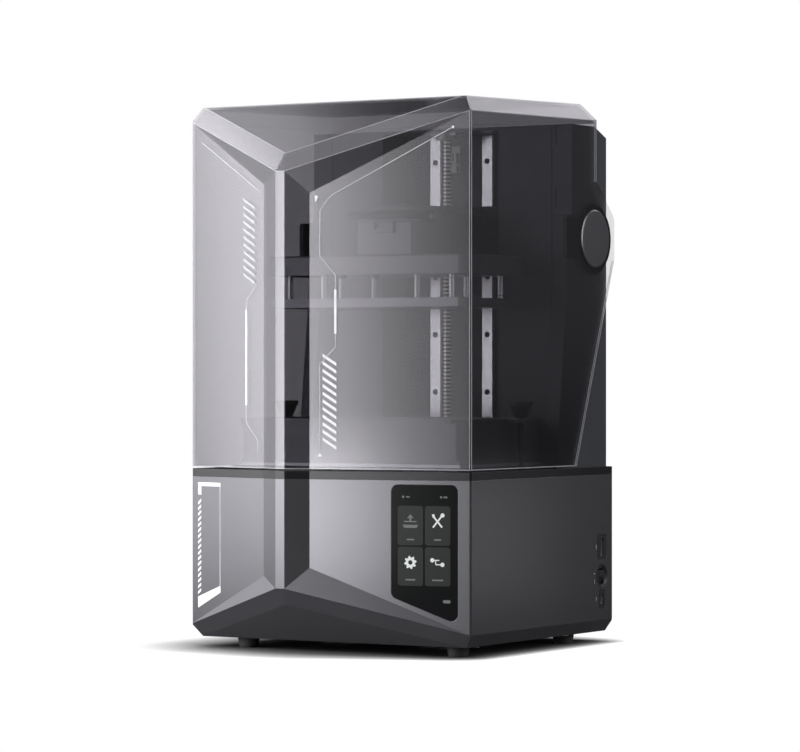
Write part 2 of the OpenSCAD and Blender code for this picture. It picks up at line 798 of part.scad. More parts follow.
module tower_shell() {
    t = tower_wall;
    color("#8b9096") difference() {
        union() {
            across(-tower_half, tower_half) polygon([
                [tower_front, deck_z], [base_back, deck_z], [base_back, tower_top - chamfer_drop],
                [chamfer_y, tower_top], [tower_front, tower_top]
            ]);
            mirrored_x() across(tower_half - cheek_t, tower_half) polygon([
                [cheek_foot, deck_z], [tower_front + cut, deck_z], [tower_front + cut, cheek_top],
                [tower_front, cheek_top], [cheek_face - 1, cheek_top - 2], [cheek_face, cheek_mid]
            ]);
        }
        block([-recess_half, tower_front - cut, deck_z - cut], [recess_half, recess_back, recess_top]);
        difference() {
            across(-tower_half + t, tower_half - t) polygon([
                [tower_front + t, deck_z + t], [base_back - t, deck_z + t],
                [base_back - t, tower_top - chamfer_drop - 2], [chamfer_y - 1, recess_top],
                [tower_front + t, recess_top]
            ]);
            block([-recess_half - t, tower_front, deck_z], [recess_half + t, bench, tower_top]);
        }
        block([-tower_half + hatch_in, base_back - t - cut, hatch_z[0]],
            [tower_half - hatch_in, base_back + cut, hatch_z[1]]);
        mirrored_x() {
            block([seam_x, tower_front - cut, deck_z - cut],
                [seam_x + 1, tower_front + cut, tower_top + cut]);
            for (z = [hinge_z + 32, hinge_z + 95])
                block([notch_x[0], tower_front - cut, z], [notch_x[1], tower_front + 1.5, z + 20]);
            rod_x(tower_half - t - cut, tower_half + cut, hinge_y, hinge_z, hinge_pin_r);
        }
        for (x = [-1, 1], z = rail_screw_z)
            rod_y(recess_back - cut, bench + cut, x * rail_spacing / 2, z, m3_r);
        for (p = panel_screws) rod_y(base_back - t - cut, base_back + cut, p[0], p[1], m3_r);
    }
}

module tower_back_cover() {
    edge = tower_half - panel_in;
    color("#6f757c") difference() {
        along(base_back, base_back + panel_t) rounded_box([-edge, panel_z[0]], [edge, panel_z[1]], 5);
        for (z = [deck_z + 60:9:deck_z + 105], x = [-75, 75])
            along(base_back - cut, base_back + panel_t + cut) translate([x, z]) {
                square([80, 3], center = true);
                for (end = [-40, 40]) translate([end, 0]) circle(1.5);
            }
        for (p = panel_screws) rod_y(base_back - cut, base_back + panel_t + cut, p[0], p[1], m3_r);
    }
}

// Stub pins that carry the cover, each with a flange inside the tower's wall
module hinge_pins() {
    color("#c3c7cc") mirrored_x() {
        rod_x(tower_half - tower_wall - 3, tower_half - tower_wall, hinge_y, hinge_z, hinge_pin_r + 5);
        rod_x(tower_half - tower_wall, half_w - 2.4, hinge_y, hinge_z, hinge_pin_r);
    }
}

// ---------------------------------------------------------------- rails and lead screw
rail_front = recess_back - rail_t;
rail_z0 = deck_z + rail_foot;
rail_z1 = recess_top - 2;
rail_screw_z = [for (k = [0:4]) rail_z1 - 26.5 - k * rail_pitch];
counterbore = [3.1, 4.5];             // radius and depth in the rail's face

module rail(x) {
    color("#c9ced4") difference() {
        block([x - rail_w / 2, rail_front, rail_z0], [x + rail_w / 2, recess_back, rail_z1]);
        for (z = rail_screw_z) {
            rod_y(rail_front - cut, recess_back + cut, x, z, m3_clear_r);
            rod_y(rail_front - cut, rail_front + counterbore[1], x, z, counterbore[0]);
        }
        mirrored_at(x) across_z(rail_z0 - cut, rail_z1 + cut)
            translate([x + rail_w / 2, rail_front + 3.4]) rotate(45) square(2, center = true);
    }
}

module across_z(z0, z1) {
    translate([0, 0, z0]) linear_extrude(z1 - z0) children();
}

module mirrored_at(x) {
    children();
    translate([2 * x, 0, 0]) mirror([1, 0, 0]) children();
}

module rail_left() {
    rail(-rail_spacing / 2);
}

module rail_right() {
    rail(rail_spacing / 2);
}

module rail_screws() {
    head_y = rail_front + counterbore[1] - 3;
    color("#26282b") for (x = [-1, 1] * rail_spacing / 2, z = rail_screw_z) {
        difference() {
            rod_y(head_y, head_y + 3, x, z, m3_head_r);
            translate([x, head_y - cut, z]) rotate([-90, 0, 0]) cylinder(h = 1.5 + cut, r = 1.4, $fn = 6);
        }
        rod_y(head_y + 3, bench, x, z, m3_r);
    }
}

coupler_z = deck_z + 3;
screw_z0 = deck_z + 16;
screw_z1 = recess_top - 0.5;
bearing_h = 7.5;

module z_screw() {
    thread_pitch = 4;
    color("#b4b9bf") translate([0, screw_y, 0]) difference() {
        translate([0, 0, screw_z0]) cylinder(h = screw_z1 - screw_z0, r = screw_r);
        for (z = [screw_z0 + 16:thread_pitch:screw_z1 - 12]) translate([0, 0, z]) difference() {
            cylinder(h = 0.9, r = screw_r + cut);
            translate([0, 0, -cut]) cylinder(h = 3, r = screw_r - 0.45);
        }
    }
}

module screw_top_bearing() {
    color("#8d939a") translate([0, screw_y, recess_top - bearing_h]) difference() {
        union() {
            cylinder(h = bearing_h, r = 11);
            translate([-15, -8, bearing_h - 3]) cube([30, 16, 3]);
        }
        translate([0, 0, -cut]) cylinder(h = bearing_h + 2 * cut, r = screw_r + run_gap);
    }
}

shaft_r = 2.5;
pilot_h = 2;

module z_motor() {
    top = deck_z - deck_t;
    length = 40;
    color("#3b3f45") difference() {
        union() {
            translate([0, screw_y, top - length]) linear_extrude(length) difference() {
                square(motor_w, center = true);
                for (turn = [45:90:359]) rotate(turn) translate([motor_w * 0.66, 0])
                    square([6, 20], center = true);
            }
            translate([0, screw_y, top]) cylinder(h = pilot_h, r = pilot_r);
        }
        translate([0, screw_y, top - 12]) cylinder(h = 12 + pilot_h + cut, r = shaft_r + run_gap);
        for (x = [-1, 1], y = [-1, 1])
            translate([x * motor_pitch / 2, screw_y + y * motor_pitch / 2, top - 6])
                cylinder(h = 6 + cut, r = m3_r);
    }
}

// Clamp coupler with the motor's shaft in it
module motor_coupler() {
    top = coupler_z + 25;
    color("#9aa0a7") {
        translate([0, screw_y, 0]) difference() {
            translate([0, 0, coupler_z]) cylinder(h = top - coupler_z, r = 9.5);
            translate([0, 0, screw_z0]) cylinder(h = top - screw_z0 + cut, r = screw_r);
            for (z = [coupler_z + 8, coupler_z + 17]) translate([0, 0, z]) difference() {
                cylinder(h = 1.2, r = 10);
                translate([0, 0, -cut]) cylinder(h = 4, r = 7.6);
            }
        }
        translate([0, screw_y, deck_z - deck_t - 10])
            cylinder(h = coupler_z - deck_z + deck_t + 10, r = shaft_r);
    }
}

module limit_sensor() {
    z = screw_z1 - 25;
    color("#e8e8e4") {
        block([-15, recess_back - 1.6, z - 14], [-5, recess_back, z + 14]);
        difference() {
            block([-14, recess_back - 8, z - 4], [-6, recess_back - 1.6, z + 6]);
            block([-11.5, recess_back - 8 - cut, z - 2], [-8.5, recess_back - 3.4, z + 6 + cut]);
        }
        block([-13.5, recess_back - 6.5, z - 13], [-6.5, recess_back - 1.6, z - 6.5]);
    }
}

// ---------------------------------------------------------------- carriage and platform
plate_z = deck_z + platform_rise;     // underside of the build plate
pillar_z = plate_z + plate_t;
pan_z = pillar_z + pillar_h;
block_z = pan_z + pan_h;
block_top = block_z + block_h;
guide_h = 45;
guide_w = 27;
guide_y = rail_front - 5;
guide_z = block_z - 3.2;
carriage_y = guide_y - carriage_t;
carriage_w = 100;
carriage_drop = 12.8;                 // how far the plate hangs below the guide blocks
carriage_h = 70.6;
carriage_z = [guide_z - carriage_drop, guide_z - carriage_drop + carriage_h];
arm_z = block_z + 3.3;
arm_h = 49;
arm_top = arm_z + arm_h;
arm_front = platform_y + 46.6;
hood_z = block_top + 0.3;
nut_r = 6;

module guide_blocks() {
    rail_fit = 0.1;
    color("#2d3035") mirrored_x() difference() {
        translate([rail_spacing / 2 - guide_w / 2, guide_y, guide_z]) cube([guide_w, 10, guide_h]);
        block([rail_spacing / 2 - rail_w / 2 - rail_fit, rail_front - rail_fit, guide_z - cut],
            [rail_spacing / 2 + rail_w / 2 + rail_fit, guide_y + 10 + cut, guide_z + guide_h + cut]);
        for (x = [-10, 10], z = [-10, 10]) rod_y(guide_y - cut, guide_y + 3.5,
            rail_spacing / 2 + x, guide_z + guide_h / 2 + z, m3_r);
    }
}

module carriage_plate() {
    color("#54595f") difference() {
        along(carriage_y, guide_y)
            rounded_box([-carriage_w / 2, carriage_z[0]], [carriage_w / 2, carriage_z[1]], 3);
        for (side = [-1, 1], x = [-10, 10], z = [-10, 10])
            rod_y(carriage_y - cut, guide_y + cut, side * rail_spacing / 2 + x,
                guide_z + guide_h / 2 + z, m3_clear_r);
    }
}

// Cantilever arm: a deep block on the carriage and a chamfered hood over the mount block
module arm() {
    half = block_w / 2;
    bevel = 8;
    hood_front = platform_y - 23.4;
    color("#565b62") difference() {
        union() {
            along(arm_front, carriage_y) polygon([
                [-half, arm_z], [half, arm_z], [half, arm_top - bevel], [half - bevel, arm_top],
                [-half + bevel, arm_top], [-half, arm_top - bevel]
            ]);
            intersection() {
                along(hood_front, arm_front) polygon([
                    [-hood_w / 2, hood_z], [hood_w / 2, hood_z], [hood_w / 2, arm_top - bevel],
                    [hood_w / 2 - bevel, arm_top], [-hood_w / 2 + bevel, arm_top],
                    [-hood_w / 2, arm_top - bevel]
                ]);
                across(-half, half) polygon([
                    [hood_front, hood_z], [arm_front, hood_z], [arm_front, arm_top],
                    [hood_front + bevel, arm_top], [hood_front, arm_top - bevel]
                ]);
            }
        }
        translate([0, screw_y, arm_z - cut]) cylinder(h = arm_top - arm_z + 2 * cut, r = nut_r);
        rod_x(-hood_w / 2 - cut, hood_w / 2 + cut, lever_y, lever_z, lever_pin_r);
        mirrored_x() block([hood_w / 2 - 4, lever_y - 7, hood_z - cut],
            [hood_w / 2 + cut, lever_y + 7, hood_z + 10]);
    }
}

module screw_nut() {
    color("#b08d4a") translate([0, screw_y, 0]) difference() {
        union() {
            translate([0, 0, arm_z - 4]) cylinder(h = 4, r = 11);
            translate([0, 0, arm_z - 14]) cylinder(h = 34, r = nut_r);
        }
        translate([0, 0, arm_z - 14 - cut]) cylinder(h = 34 + 2 * cut, r = screw_r + run_gap);
        for (turn = [0:90:359]) rotate(turn + 45) translate([8.3, 0, arm_z - 4 - cut])
            cylinder(h = 4 + 2 * cut, r = 1.3);
    }
}

// Mount block on the platform, with the hook that the lever's bar pulls on
module platform_block() {
    half = block_w / 2;
    front = platform_y - 21.4;
    hook = [13, 11, 4.5];             // half width, height, thickness
    color("#43474d") {
        difference() {
            block([-half, front, block_z], [half, arm_front - 0.3, block_top]);
            mirrored_x() for (y = [front, arm_front - 0.3]) translate([half, y, block_z - cut])
                rotate(45) cube([6, 6, 3 * block_h], center = true);
        }
        difference() {
            block([-hook[0], front - hook[2], block_top - hook[1]], [hook[0], front, block_top]);
            block([-hook[0] + 4, front - hook[2] - cut, block_top - hook[1] + 4],
                [hook[0] - 4, front, block_top + cut]);
        }
    }
}

pillar_x = platform_w / 2 - 17.8;     // outer pillars
pillar_step = 40;
pillar_y = platform_d / 2 - 13.8;
pillar_spots = [
    for (x = [-pillar_x, pillar_step - pillar_x, pillar_x - pillar_step, pillar_x], y = [-1, 1] * pillar_y)
        [x, platform_y + y]
];

// Pan of the platform, open below, with a boss over every pillar
module platform_pan() {
    wall = 3;
    edge = [platform_w / 2, platform_d / 2];
    centre = [0, platform_y];
    bevel = 2;
    color("#4a4e54") {
        difference() {
            intersection() {
                translate([0, 0, pan_z]) linear_extrude(pan_h) rounded_box(centre - edge, centre + edge, 3);
                across(-edge[0], edge[0]) polygon([
                    [centre[1] - edge[1], pan_z], [centre[1] + edge[1], pan_z],
                    [centre[1] + edge[1], block_z - bevel], [centre[1] + edge[1] - bevel, block_z],
                    [centre[1] - edge[1] + bevel, block_z], [centre[1] - edge[1], block_z - bevel]
                ]);
                along(centre[1] - edge[1], centre[1] + edge[1]) polygon([
                    [-edge[0], pan_z], [edge[0], pan_z], [edge[0], block_z - bevel],
                    [edge[0] - bevel, block_z], [-edge[0] + bevel, block_z], [-edge[0], block_z - bevel]
                ]);
            }
            translate([0, 0, pan_z - cut]) linear_extrude(pan_h - wall + cut)
                rounded_box(centre - edge + [wall, wall], centre + edge - [wall, wall], 2);
        }
        for (p = pillar_spots) translate([p[0], p[1], pan_z])
            cylinder(h = pan_h - wall, r = pillar_dia / 2 + 2.5);
    }
}

module platform_pillars() {
    color("#dfe2e6") for (p = pillar_spots) translate([p[0], p[1], pillar_z]) difference() {
        cylinder(h = pillar_h, r = pillar_dia / 2);
        for (z = [3, pillar_h - 4.2]) translate([0, 0, z]) difference() {
            cylinder(h = 1.2, r = pillar_dia);
            translate([0, 0, -cut]) cylinder(h = 4, r = pillar_dia / 2 - 0.5);
        }
    }
}

module build_plate() {
    edge = [platform_w / 2, platform_d / 2];
    color("#5c6167") difference() {
        translate([0, platform_y, plate_z]) linear_extrude(plate_t) rounded_box(-edge, edge, 3);
        translate([0, platform_y, pillar_z - 4]) linear_extrude(4 + cut) difference() {
            rounded_box(-edge + [5, 5], edge - [5, 5], 3);
            for (p = pillar_spots) translate([p[0], p[1] - platform_y]) circle(pillar_dia / 2 + 3);
            square([edge[0] * 2, 4], center = true);
            for (x = [-75, -35, 0, 35, 75]) translate([x, 0]) square([4, edge[1] * 2], center = true);
        }
    }
}

// Clamp lever on a pin through the hood
lever_y = platform_y + 10.6;
lever_z = hood_z + 6;
lever_pin_r = 2.5;

module lever_pin() {
    color("#c3c7cc") rod_x(-block_w / 2 - 1, block_w / 2 + 1, lever_y, lever_z, lever_pin_r);
}

module clamp_lever() {
    half = block_w / 2;
    side_t = 3.2;
    inner = hood_w / 2 - 3.4;
    bar = [platform_y - 41.4, platform_y - 33.4];
    tall = 8.5;
    mid_z = lever_z;
    color("#202226") {
        mirrored_x() difference() {
            union() {
                rod_x(half - side_t, half, lever_y, mid_z, 6);
                block([half - side_t, bar[0] + 3, mid_z - 4], [half, lever_y, mid_z + 4]);
            }
            rod_x(inner, half + cut, lever_y, mid_z, lever_pin_r + run_gap);
        }
        across(-half + side_t, half - side_t) polygon([
            [bar[0], mid_z], [bar[0] + 3, mid_z - tall / 2], [bar[1], mid_z - tall / 2],
            [bar[1], mid_z + tall / 2], [bar[0] + 3, mid_z + tall / 2]
        ]);
    }
}

// ---------------------------------------------------------------- cover
slant_rise = 2.625;                   // rise of the slanted edge over its run
arm_in = half_w - cover_wall;

module cover_side() {
    low = [slant_foot, cover_z];
    neck = [cover_back, hinge_z + ear_neck];
    high = [ear_y, hinge_z + ear_rise];
    turn = [ear_y, cover_z + (ear_y - slant_foot) * slant_rise];
    c1 = inset_corner(low, turn, high, ear_corner);
    c2 = inset_corner(turn, high, neck, ear_corner);
    polygon([
        [ridge_y - cut, cover_z], low, c1 + ear_corner * edge_out(low, turn), c1 + [ear_corner, 0],
        c2 + [ear_corner, 0], c2 + ear_corner * edge_out(high, neck), neck,
        [cover_back, overall_h + cut], [ridge_y - cut, overall_h + cut]
    ]);
    translate(c1) circle(ear_corner);
    translate(c2) circle(ear_corner);
}

module cover_shell() {
    color("#5b6066", 0.35) difference() {
        intersection() {
            cover_form(0, cover_z, ear_y);
            across(-half_w, half_w) cover_side();
        }
        cover_form(cover_wall, cover_z - cut, ear_y + reach);
        mirrored_x() rod_x(arm_in - cut, half_w + cut, hinge_y, hinge_z, hinge_arm_r + seat_gap);
    }
}

// Black hinge arm inside the cover; its round hub fills the hole in the ear
arm_plate_t = 4.6;

module hinge_arm_right() {
    bar_front = hinge_y - 55;
    bar_half = 21;
    inner = arm_in - arm_plate_t;
    color("#1b1c1f") difference() {
        union() {
            rod_x(inner, arm_in, hinge_y, hinge_z, hinge_arm_r + 3.2);
            rod_x(arm_in, half_w, hinge_y, hinge_z, hinge_arm_r);
            across(inner, arm_in) rounded_box([bar_front, hinge_z - bar_half],
                [hinge_y, hinge_z + bar_half], 4);
        }
        rod_x(half_w - 2, half_w + cut, hinge_y, hinge_z, cap_r + seat_gap);
        rod_x(inner - cut, half_w, hinge_y, hinge_z, hinge_pin_r + run_gap);
    }
}

module hinge_arm_left() {
    mirror([1, 0, 0]) hinge_arm_right();
}

module hinge_cap_right() {
    bevel = 0.8;
    color("#9ba1a8") {
        rod_x(half_w - 2, half_w + cap_proud - bevel, hinge_y, hinge_z, cap_r);
        translate([half_w + cap_proud - bevel, hinge_y, hinge_z]) rotate([0, 90, 0])
            cylinder(h = bevel, r1 = cap_r, r2 = cap_r - 1.2);
    }
}

module hinge_cap_left() {
    mirror([1, 0, 0]) hinge_cap_right();
}

// ---------------------------------------------------------------- tilting bed and vat
bed_top = deck_z + bed_proud;
bed_z = bed_top - bed_t;
lcd_y = [bed_front + 28, bed_back - 12];
lcd_half = [bed_half - 16, (lcd_y[1] - lcd_y[0]) / 2];
lcd_centre = [0, (lcd_y[0] + lcd_y[1]) / 2];
lcd_z = bed_top - 3.4;
film_z = bed_top + 2.8;
film_t = 0.2;
vat_z = film_z + film_t;
vat_top = deck_z + vat_rim;
rim_t = 4;
rim_w = 2;                            // how far the rim stands off the walls
tilt_y = bed_back - 2;
tilt_z = deck_z - 13.2;
tilt_pin_r = 3;
tilt_lug = [bed_half - 30, bed_half - 24];

module tilt_frame() {
    color("#3c4046") difference() {
        union() {
            translate([0, 0, bed_z]) linear_extrude(bed_t) {
                rounded_box([-bed_half, bed_front], [bed_half, bed_back], 3);
                translate([0, thumb_y]) square(2 * bed_ear, center = true);
            }
            mirrored_x() difference() {
                union() {
                    rod_x(tilt_lug[0], tilt_lug[1], tilt_y - 0.5, tilt_z, 6.2);
                    across(tilt_lug[0], tilt_lug[1]) polygon([
                        [tilt_y - 12, bed_z + cut], [tilt_y - 12, bed_z], [tilt_y - 6.7, tilt_z],
                        [tilt_y + 2, tilt_z], [tilt_y + 2, bed_z + cut]
                    ]);
                }
                block([0, tilt_y + 2, 0], [reach, reach, bed_z]);
            }
        }
        translate([0, 0, lcd_z]) linear_extrude(bed_top)
            translate(lcd_centre) square(2 * lcd_half + [2, 2] * seat_gap, center = true);
        translate([0, 0, bed_z - cut]) linear_extrude(bed_t)
            translate(lcd_centre) square(2 * lcd_half - [18, 16], center = true);
        mirrored_x() {
            rod_x(tilt_lug[0] - cut, tilt_lug[1] + cut, tilt_y, tilt_z, tilt_pin_r + run_gap);
            translate([thumb_x, thumb_y, bed_z - cut])
                cylinder(h = bed_t + 2 * cut, r = thumb_pin_r + run_gap);
        }
    }
}

module lcd_panel() {
    color("#101114") translate([0, 0, lcd_z]) linear_extrude(6)
        translate(lcd_centre) square(2 * lcd_half, center = true);
}

module film_frame() {
    color("#a4a9af") translate([0, 0, bed_top]) linear_extrude(film_z - bed_top) difference() {
        translate([0, (vat_front + vat_back) / 2])
            square([vat_w, vat_back - vat_front] - 2 * [rim_w, 0.5], center = true);
        translate(lcd_centre) square(2 * lcd_half + [5, 4], center = true);
    }
}

module release_film() {
    color("#c8d4dc", 0.5) translate([0, 0, film_z]) linear_extrude(film_t)
        translate([0, (vat_front + vat_back) / 2])
            square([vat_w, vat_back - vat_front] - 2 * [rim_w, 0.5], center = true);
}

module vat_body() {
    rim_a = [-vat_w / 2, vat_front];
    rim_b = [vat_w / 2, vat_back];
    wall_a = rim_a + [rim_w, rim_w];
    wall_b = rim_b - [rim_w, rim_w];
    spout = [26, 7];                  // run along the rim, reach over the corner
    color("#868c93") difference() {
        union() {
            translate([0, 0, vat_z]) linear_extrude(vat_top - vat_z) rounded_box(wall_a, wall_b, 7);
            translate([0, 0, vat_z]) linear_extrude(4) rounded_box(wall_a, wall_b, 2);
            translate([0, 0, vat_top - rim_t]) linear_extrude(rim_t) {
                rounded_box(rim_a, rim_b, 8);
                translate([0, thumb_y]) rounded_box([-thumb_x - 11, -14], [thumb_x + 11, 14], 5);
                polygon([
                    [rim_b[0] - spout[0], rim_a[1] + 4], [rim_b[0] - 9, rim_a[1] - spout[1] + 1],
                    [rim_b[0] + spout[1] - 1, rim_a[1] + 9], [rim_b[0] - 4, rim_a[1] + spout[0]]
                ]);
            }
        }
        translate([0, 0, vat_z - cut]) linear_extrude(vat_rim + 2 * cut)
            rounded_box(wall_a + [vat_wall, vat_wall], wall_b - [vat_wall, vat_wall], 5);
        mirrored_x() translate([thumb_x, thumb_y, vat_top - rim_t - cut])
            cylinder(h = rim_t + 2 * cut, r = 4);
    }
}

// Thumb screw of the vat: cone, stem and a bright pin in the bed's ear
thumb_pin_r = 1.8;

module thumb_screw(x) {
    seat = vat_top + slide_gap;
    stem_z = bed_top + 14;
    cap_z = seat + 12.6;
    color("#2a2c30") translate([x, thumb_y, 0]) {
        translate([0, 0, stem_z]) cylinder(h = seat - stem_z, r = 3.5);
        translate([0, 0, seat]) cylinder(h = cap_z - seat, r1 = 6, r2 = thumb_dia / 2 - 1);
        translate([0, 0, cap_z]) cylinder(h = 4, r = thumb_dia / 2);
        translate([0, 0, bed_z + 0.4]) cylinder(h = stem_z - bed_z - 0.4, r = thumb_pin_r);
    }
}

module thumb_screw_left() {
    thumb_screw(-thumb_x);
}

module thumb_screw_right() {
    thumb_screw(thumb_x);
}

// Brackets under the deck, behind the bed's opening, and the pins they hold
module tilt_pivots() {
    bracket_x = [tilt_lug[1] + 0.5, tilt_lug[1] + 6.5];
    under = deck_z - deck_t;
    color("#70767d") mirrored_x() {
        across(bracket_x[0], bracket_x[1]) polygon([
            [tilt_y - 8, tilt_z - 6], [tilt_y + 18, tilt_z - 6], [tilt_y + 18, under],
            [bed_back + bed_gap + 1, under], [bed_back + bed_gap + 1, tilt_z + 5.3],
            [tilt_y - 8, tilt_z + 5.3]
        ]);
        rod_x(tilt_lug[0] - 1, bracket_x[1] + 0.6, tilt_y, tilt_z, tilt_pin_r);
    }
}

// Linear actuator that holds up the bed's front
tilt_rod_y = bed_front + 12;
tilt_motor_z = [bed_z - 72.2, bed_z - 32.2];

module tilt_motor() {
    half = 17.5;
    color("#3b3f45") difference() {
        union() {
            block([-half, tilt_rod_y - half, tilt_motor_z[0]], [half, tilt_rod_y + half, tilt_motor_z[1]]);
            translate([0, tilt_rod_y, tilt_motor_z[1]]) cylinder(h = 2, r = 8);
        }
        translate([0, tilt_rod_y, tilt_motor_z[0] + 14]) cylinder(h = 40, r = tilt_rod_r + run_gap);
    }
}

tilt_rod_r = 3;

module tilt_rod() {
    color("#b4b9bf") translate([0, tilt_rod_y, tilt_motor_z[0] + 24])
        cylinder(h = bed_z - slide_gap - tilt_motor_z[0] - 24, r = tilt_rod_r);
}

// ---------------------------------------------------------------- light engine and electronics
light_y = lcd_centre[1];
light_top = bed_z - 12.2;
light_foot = light_top - 68;
light_a = [lcd_half[0] - 6, lcd_y[0] + 8, lcd_y[1] - 8];    // half width, front, back at the top
light_b = [34, light_y - 35, light_y + 35];                 // the same at the foot
led_half = [36, 37];
led_cells = [-20:10:20];
sink_half = [42, 43];
sink_z = light_foot - 40;
sheet = 2;

module light_form(grow) {
    intersection() {
        across(-reach, reach) polygon([
            [light_b[1] - grow, light_foot], [light_b[2] + grow, light_foot],
            [light_a[2] + grow, light_top], [light_a[1] - grow, light_top]
        ]);
        along(-reach, reach) polygon([
            [-light_b[0] - grow, light_foot], [light_b[0] + grow, light_foot],
            [light_a[0] + grow, light_top], [-light_a[0] - grow, light_top]
        ]);
    }
}

module light_box() {
    color("#3f4348") difference() {
        light_form(0);
        light_form(-3);
    }
}

module light_lens() {
    color("#cfdbe2", 0.5)
        block([-light_a[0], light_a[1], light_top], [light_a[0], light_a[2], light_top + sheet]);
}

module led_board() {
    color("#e9e9e2") {
        block([-led_half[0], light_y - led_half[1], light_foot - sheet],
            [led_half[0], light_y + led_half[1], light_foot]);
        for (x = led_cells, y = led_cells)
            block([x - 2, light_y + y - 2, light_foot], [x + 2, light_y + y + 2, light_foot + 1]);
    }
}

module led_heatsink() {
    top = light_foot - sheet;
    color("#a9aeb4") {
        block([-sink_half[0], light_y - sink_half[1], top - 5], [sink_half[0], light_y + sink_half[1], top]);
        for (x = [-41:8.1:40])
            block([x, light_y - sink_half[1], sink_z], [x + 1.6, light_y + sink_half[1], top - 5]);
    }
}

// Power supply and mainboard: plan size, place from the side panel and the back wall, plan corners
supply_size = [62, 61];
supply_in = [22.7, 30.1];
supply_a = [supply_in[0] - half_w, base_back - supply_in[1] - supply_size[1]];
supply = [supply_a, supply_a + supply_size];
board_size = [92, 84];
board_in = [24.7, 27.1];
board_b = [half_w - board_in[0], base_back - board_in[1]];
board = [board_b - board_size, board_b];
supply_z = under_top + 4;
board_z = under_top + 8;

// Bent-sheet stands on the bottom plate, and the posts of the mainboard
module inner_stands() {
    foot_w = 10;
    color("#8e949b") {
        for (x = [-sink_half[0], sink_half[0] - sheet])
            block([x, light_y - sink_half[1], under_top], [x + sheet, light_y + sink_half[1], sink_z]);
        block([-sink_half[0], light_y - sink_half[1], under_top],
            [sink_half[0], light_y + sink_half[1], under_top + sheet]);
        for (x = [-18, 18 - sheet])
            block([x, tilt_rod_y - 14, under_top], [x + sheet, tilt_rod_y + 14, tilt_motor_z[0]]);
        block([-18, tilt_rod_y - 14, tilt_motor_z[0] - sheet], [18, tilt_rod_y + 14, tilt_motor_z[0]]);
        block([-18 - foot_w, tilt_rod_y - 14, under_top], [18 + foot_w, tilt_rod_y + 14, under_top + sheet]);
        for (x = [board[0][0] + 5, board[1][0] - 5], y = [board[0][1] + 5, board[1][1] - 5])
            translate([x, y, under_top]) cylinder(h = board_z - under_top, r = 3);
        for (y = [supply[0][1] + 4, supply[1][1] - 12])
            block([supply[0][0], y, under_top], [supply[1][0], y + 8, supply_z]);
    }
}

module power_supply() {
    color("#b9bec4") difference() {
        block(at(supply[0], supply_z), at(supply[1], supply_z + 34));
        for (y = [supply[0][1] + 10:6:supply[1][1] - 10])
            block([supply[0][0] + 10, y, supply_z + 33], [supply[1][0] - 10, y + 3, supply_z + 34 + cut]);
    }
}

module mainboard() {
    top = board_z + 1.6;
    a = board[0];
    color("#1f5a3c") {
        block(at(board[0], board_z), at(board[1], top));
        block([a[0] + 28, a[1] + 24, top], [a[0] + 46, a[1] + 42, top + 2]);
        for (x = [8:14:70]) block([a[0] + x, a[1] + 2, top], [a[0] + x + 9, a[1] + 8, top + 9]);
        for (x = [60, 74]) translate([a[0] + x, a[1] + 60, top]) cylinder(h = 14, r = 5);
        block([a[0] + 6, a[1] + 56, top], [a[0] + 44, a[1] + 76, top + 12]);
    }
}

// ---------------------------------------------------------------- pieces
base_shell();
ledge_frame();
deck_plate();
bottom_plate();
deck_posts();
feet();
case_screws();
screen_glass();
screen_module();
side_bezel();
switch_body();
side_ports();
power_inlet();
fan_frame();
tower_shell();
tower_back_cover();
rail_left();
rail_right();
rail_screws();
screw_top_bearing();
z_motor();
limit_sensor();
hinge_pins();
tilt_pivots();
tilt_motor();
inner_stands();
light_box();
light_lens();
led_board();
led_heatsink();
power_supply();
mainboard();
cover_shell();
hinge_arm_left();
hinge_arm_right();
hinge_cap_left();
hinge_cap_right();
guide_blocks();
carriage_plate();
arm();
screw_nut();
platform_block();
platform_pan();
platform_pillars();
build_plate();
lever_pin();
clamp_lever();
z_screw();
motor_coupler();
tilt_frame();
lcd_panel();
film_frame();
release_film();
vat_body();
tilt_rod();
thumb_screw_left();
thumb_screw_right();
power_rocker();
fan_rotor();
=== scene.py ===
import math
import bmesh
import bpy
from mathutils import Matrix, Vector


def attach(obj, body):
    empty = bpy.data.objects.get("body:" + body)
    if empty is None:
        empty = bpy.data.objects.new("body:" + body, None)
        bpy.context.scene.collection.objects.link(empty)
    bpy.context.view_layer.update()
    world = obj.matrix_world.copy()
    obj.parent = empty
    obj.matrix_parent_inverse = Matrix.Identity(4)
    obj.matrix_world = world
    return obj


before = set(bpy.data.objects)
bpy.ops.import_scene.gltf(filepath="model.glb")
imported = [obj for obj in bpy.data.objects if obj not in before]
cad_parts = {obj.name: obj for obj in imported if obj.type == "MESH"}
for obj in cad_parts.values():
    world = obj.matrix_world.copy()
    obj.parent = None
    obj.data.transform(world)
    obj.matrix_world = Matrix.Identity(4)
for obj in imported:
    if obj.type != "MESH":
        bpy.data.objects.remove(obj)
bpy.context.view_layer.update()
MM = 0.001
PROUD = 0.00012          # how far a printed mark stands off its panel
NOISE_ENDS = (0.1, 0.9)  # the part of the noise's range that drives a tint or a gloss

# ------------------------------------------------------------------ node helpers


def new_material(name):
    mat = bpy.data.materials.new(name)
    mat.use_nodes = True
    mat.node_tree.nodes.clear()
    out = mat.node_tree.nodes.new("ShaderNodeOutputMaterial")
    return mat, mat.node_tree, out


def link(tree, a, b):
    tree.links.new(a, b)


def math_node(tree, operation, *values):
    m = tree.nodes.new("ShaderNodeMath")
    m.operation = operation
    for socket, value in zip(m.inputs, values):
        if isinstance(value, (int, float)):
            socket.default_value = value
        else:
            link(tree, value, socket)
    return m.outputs[0]


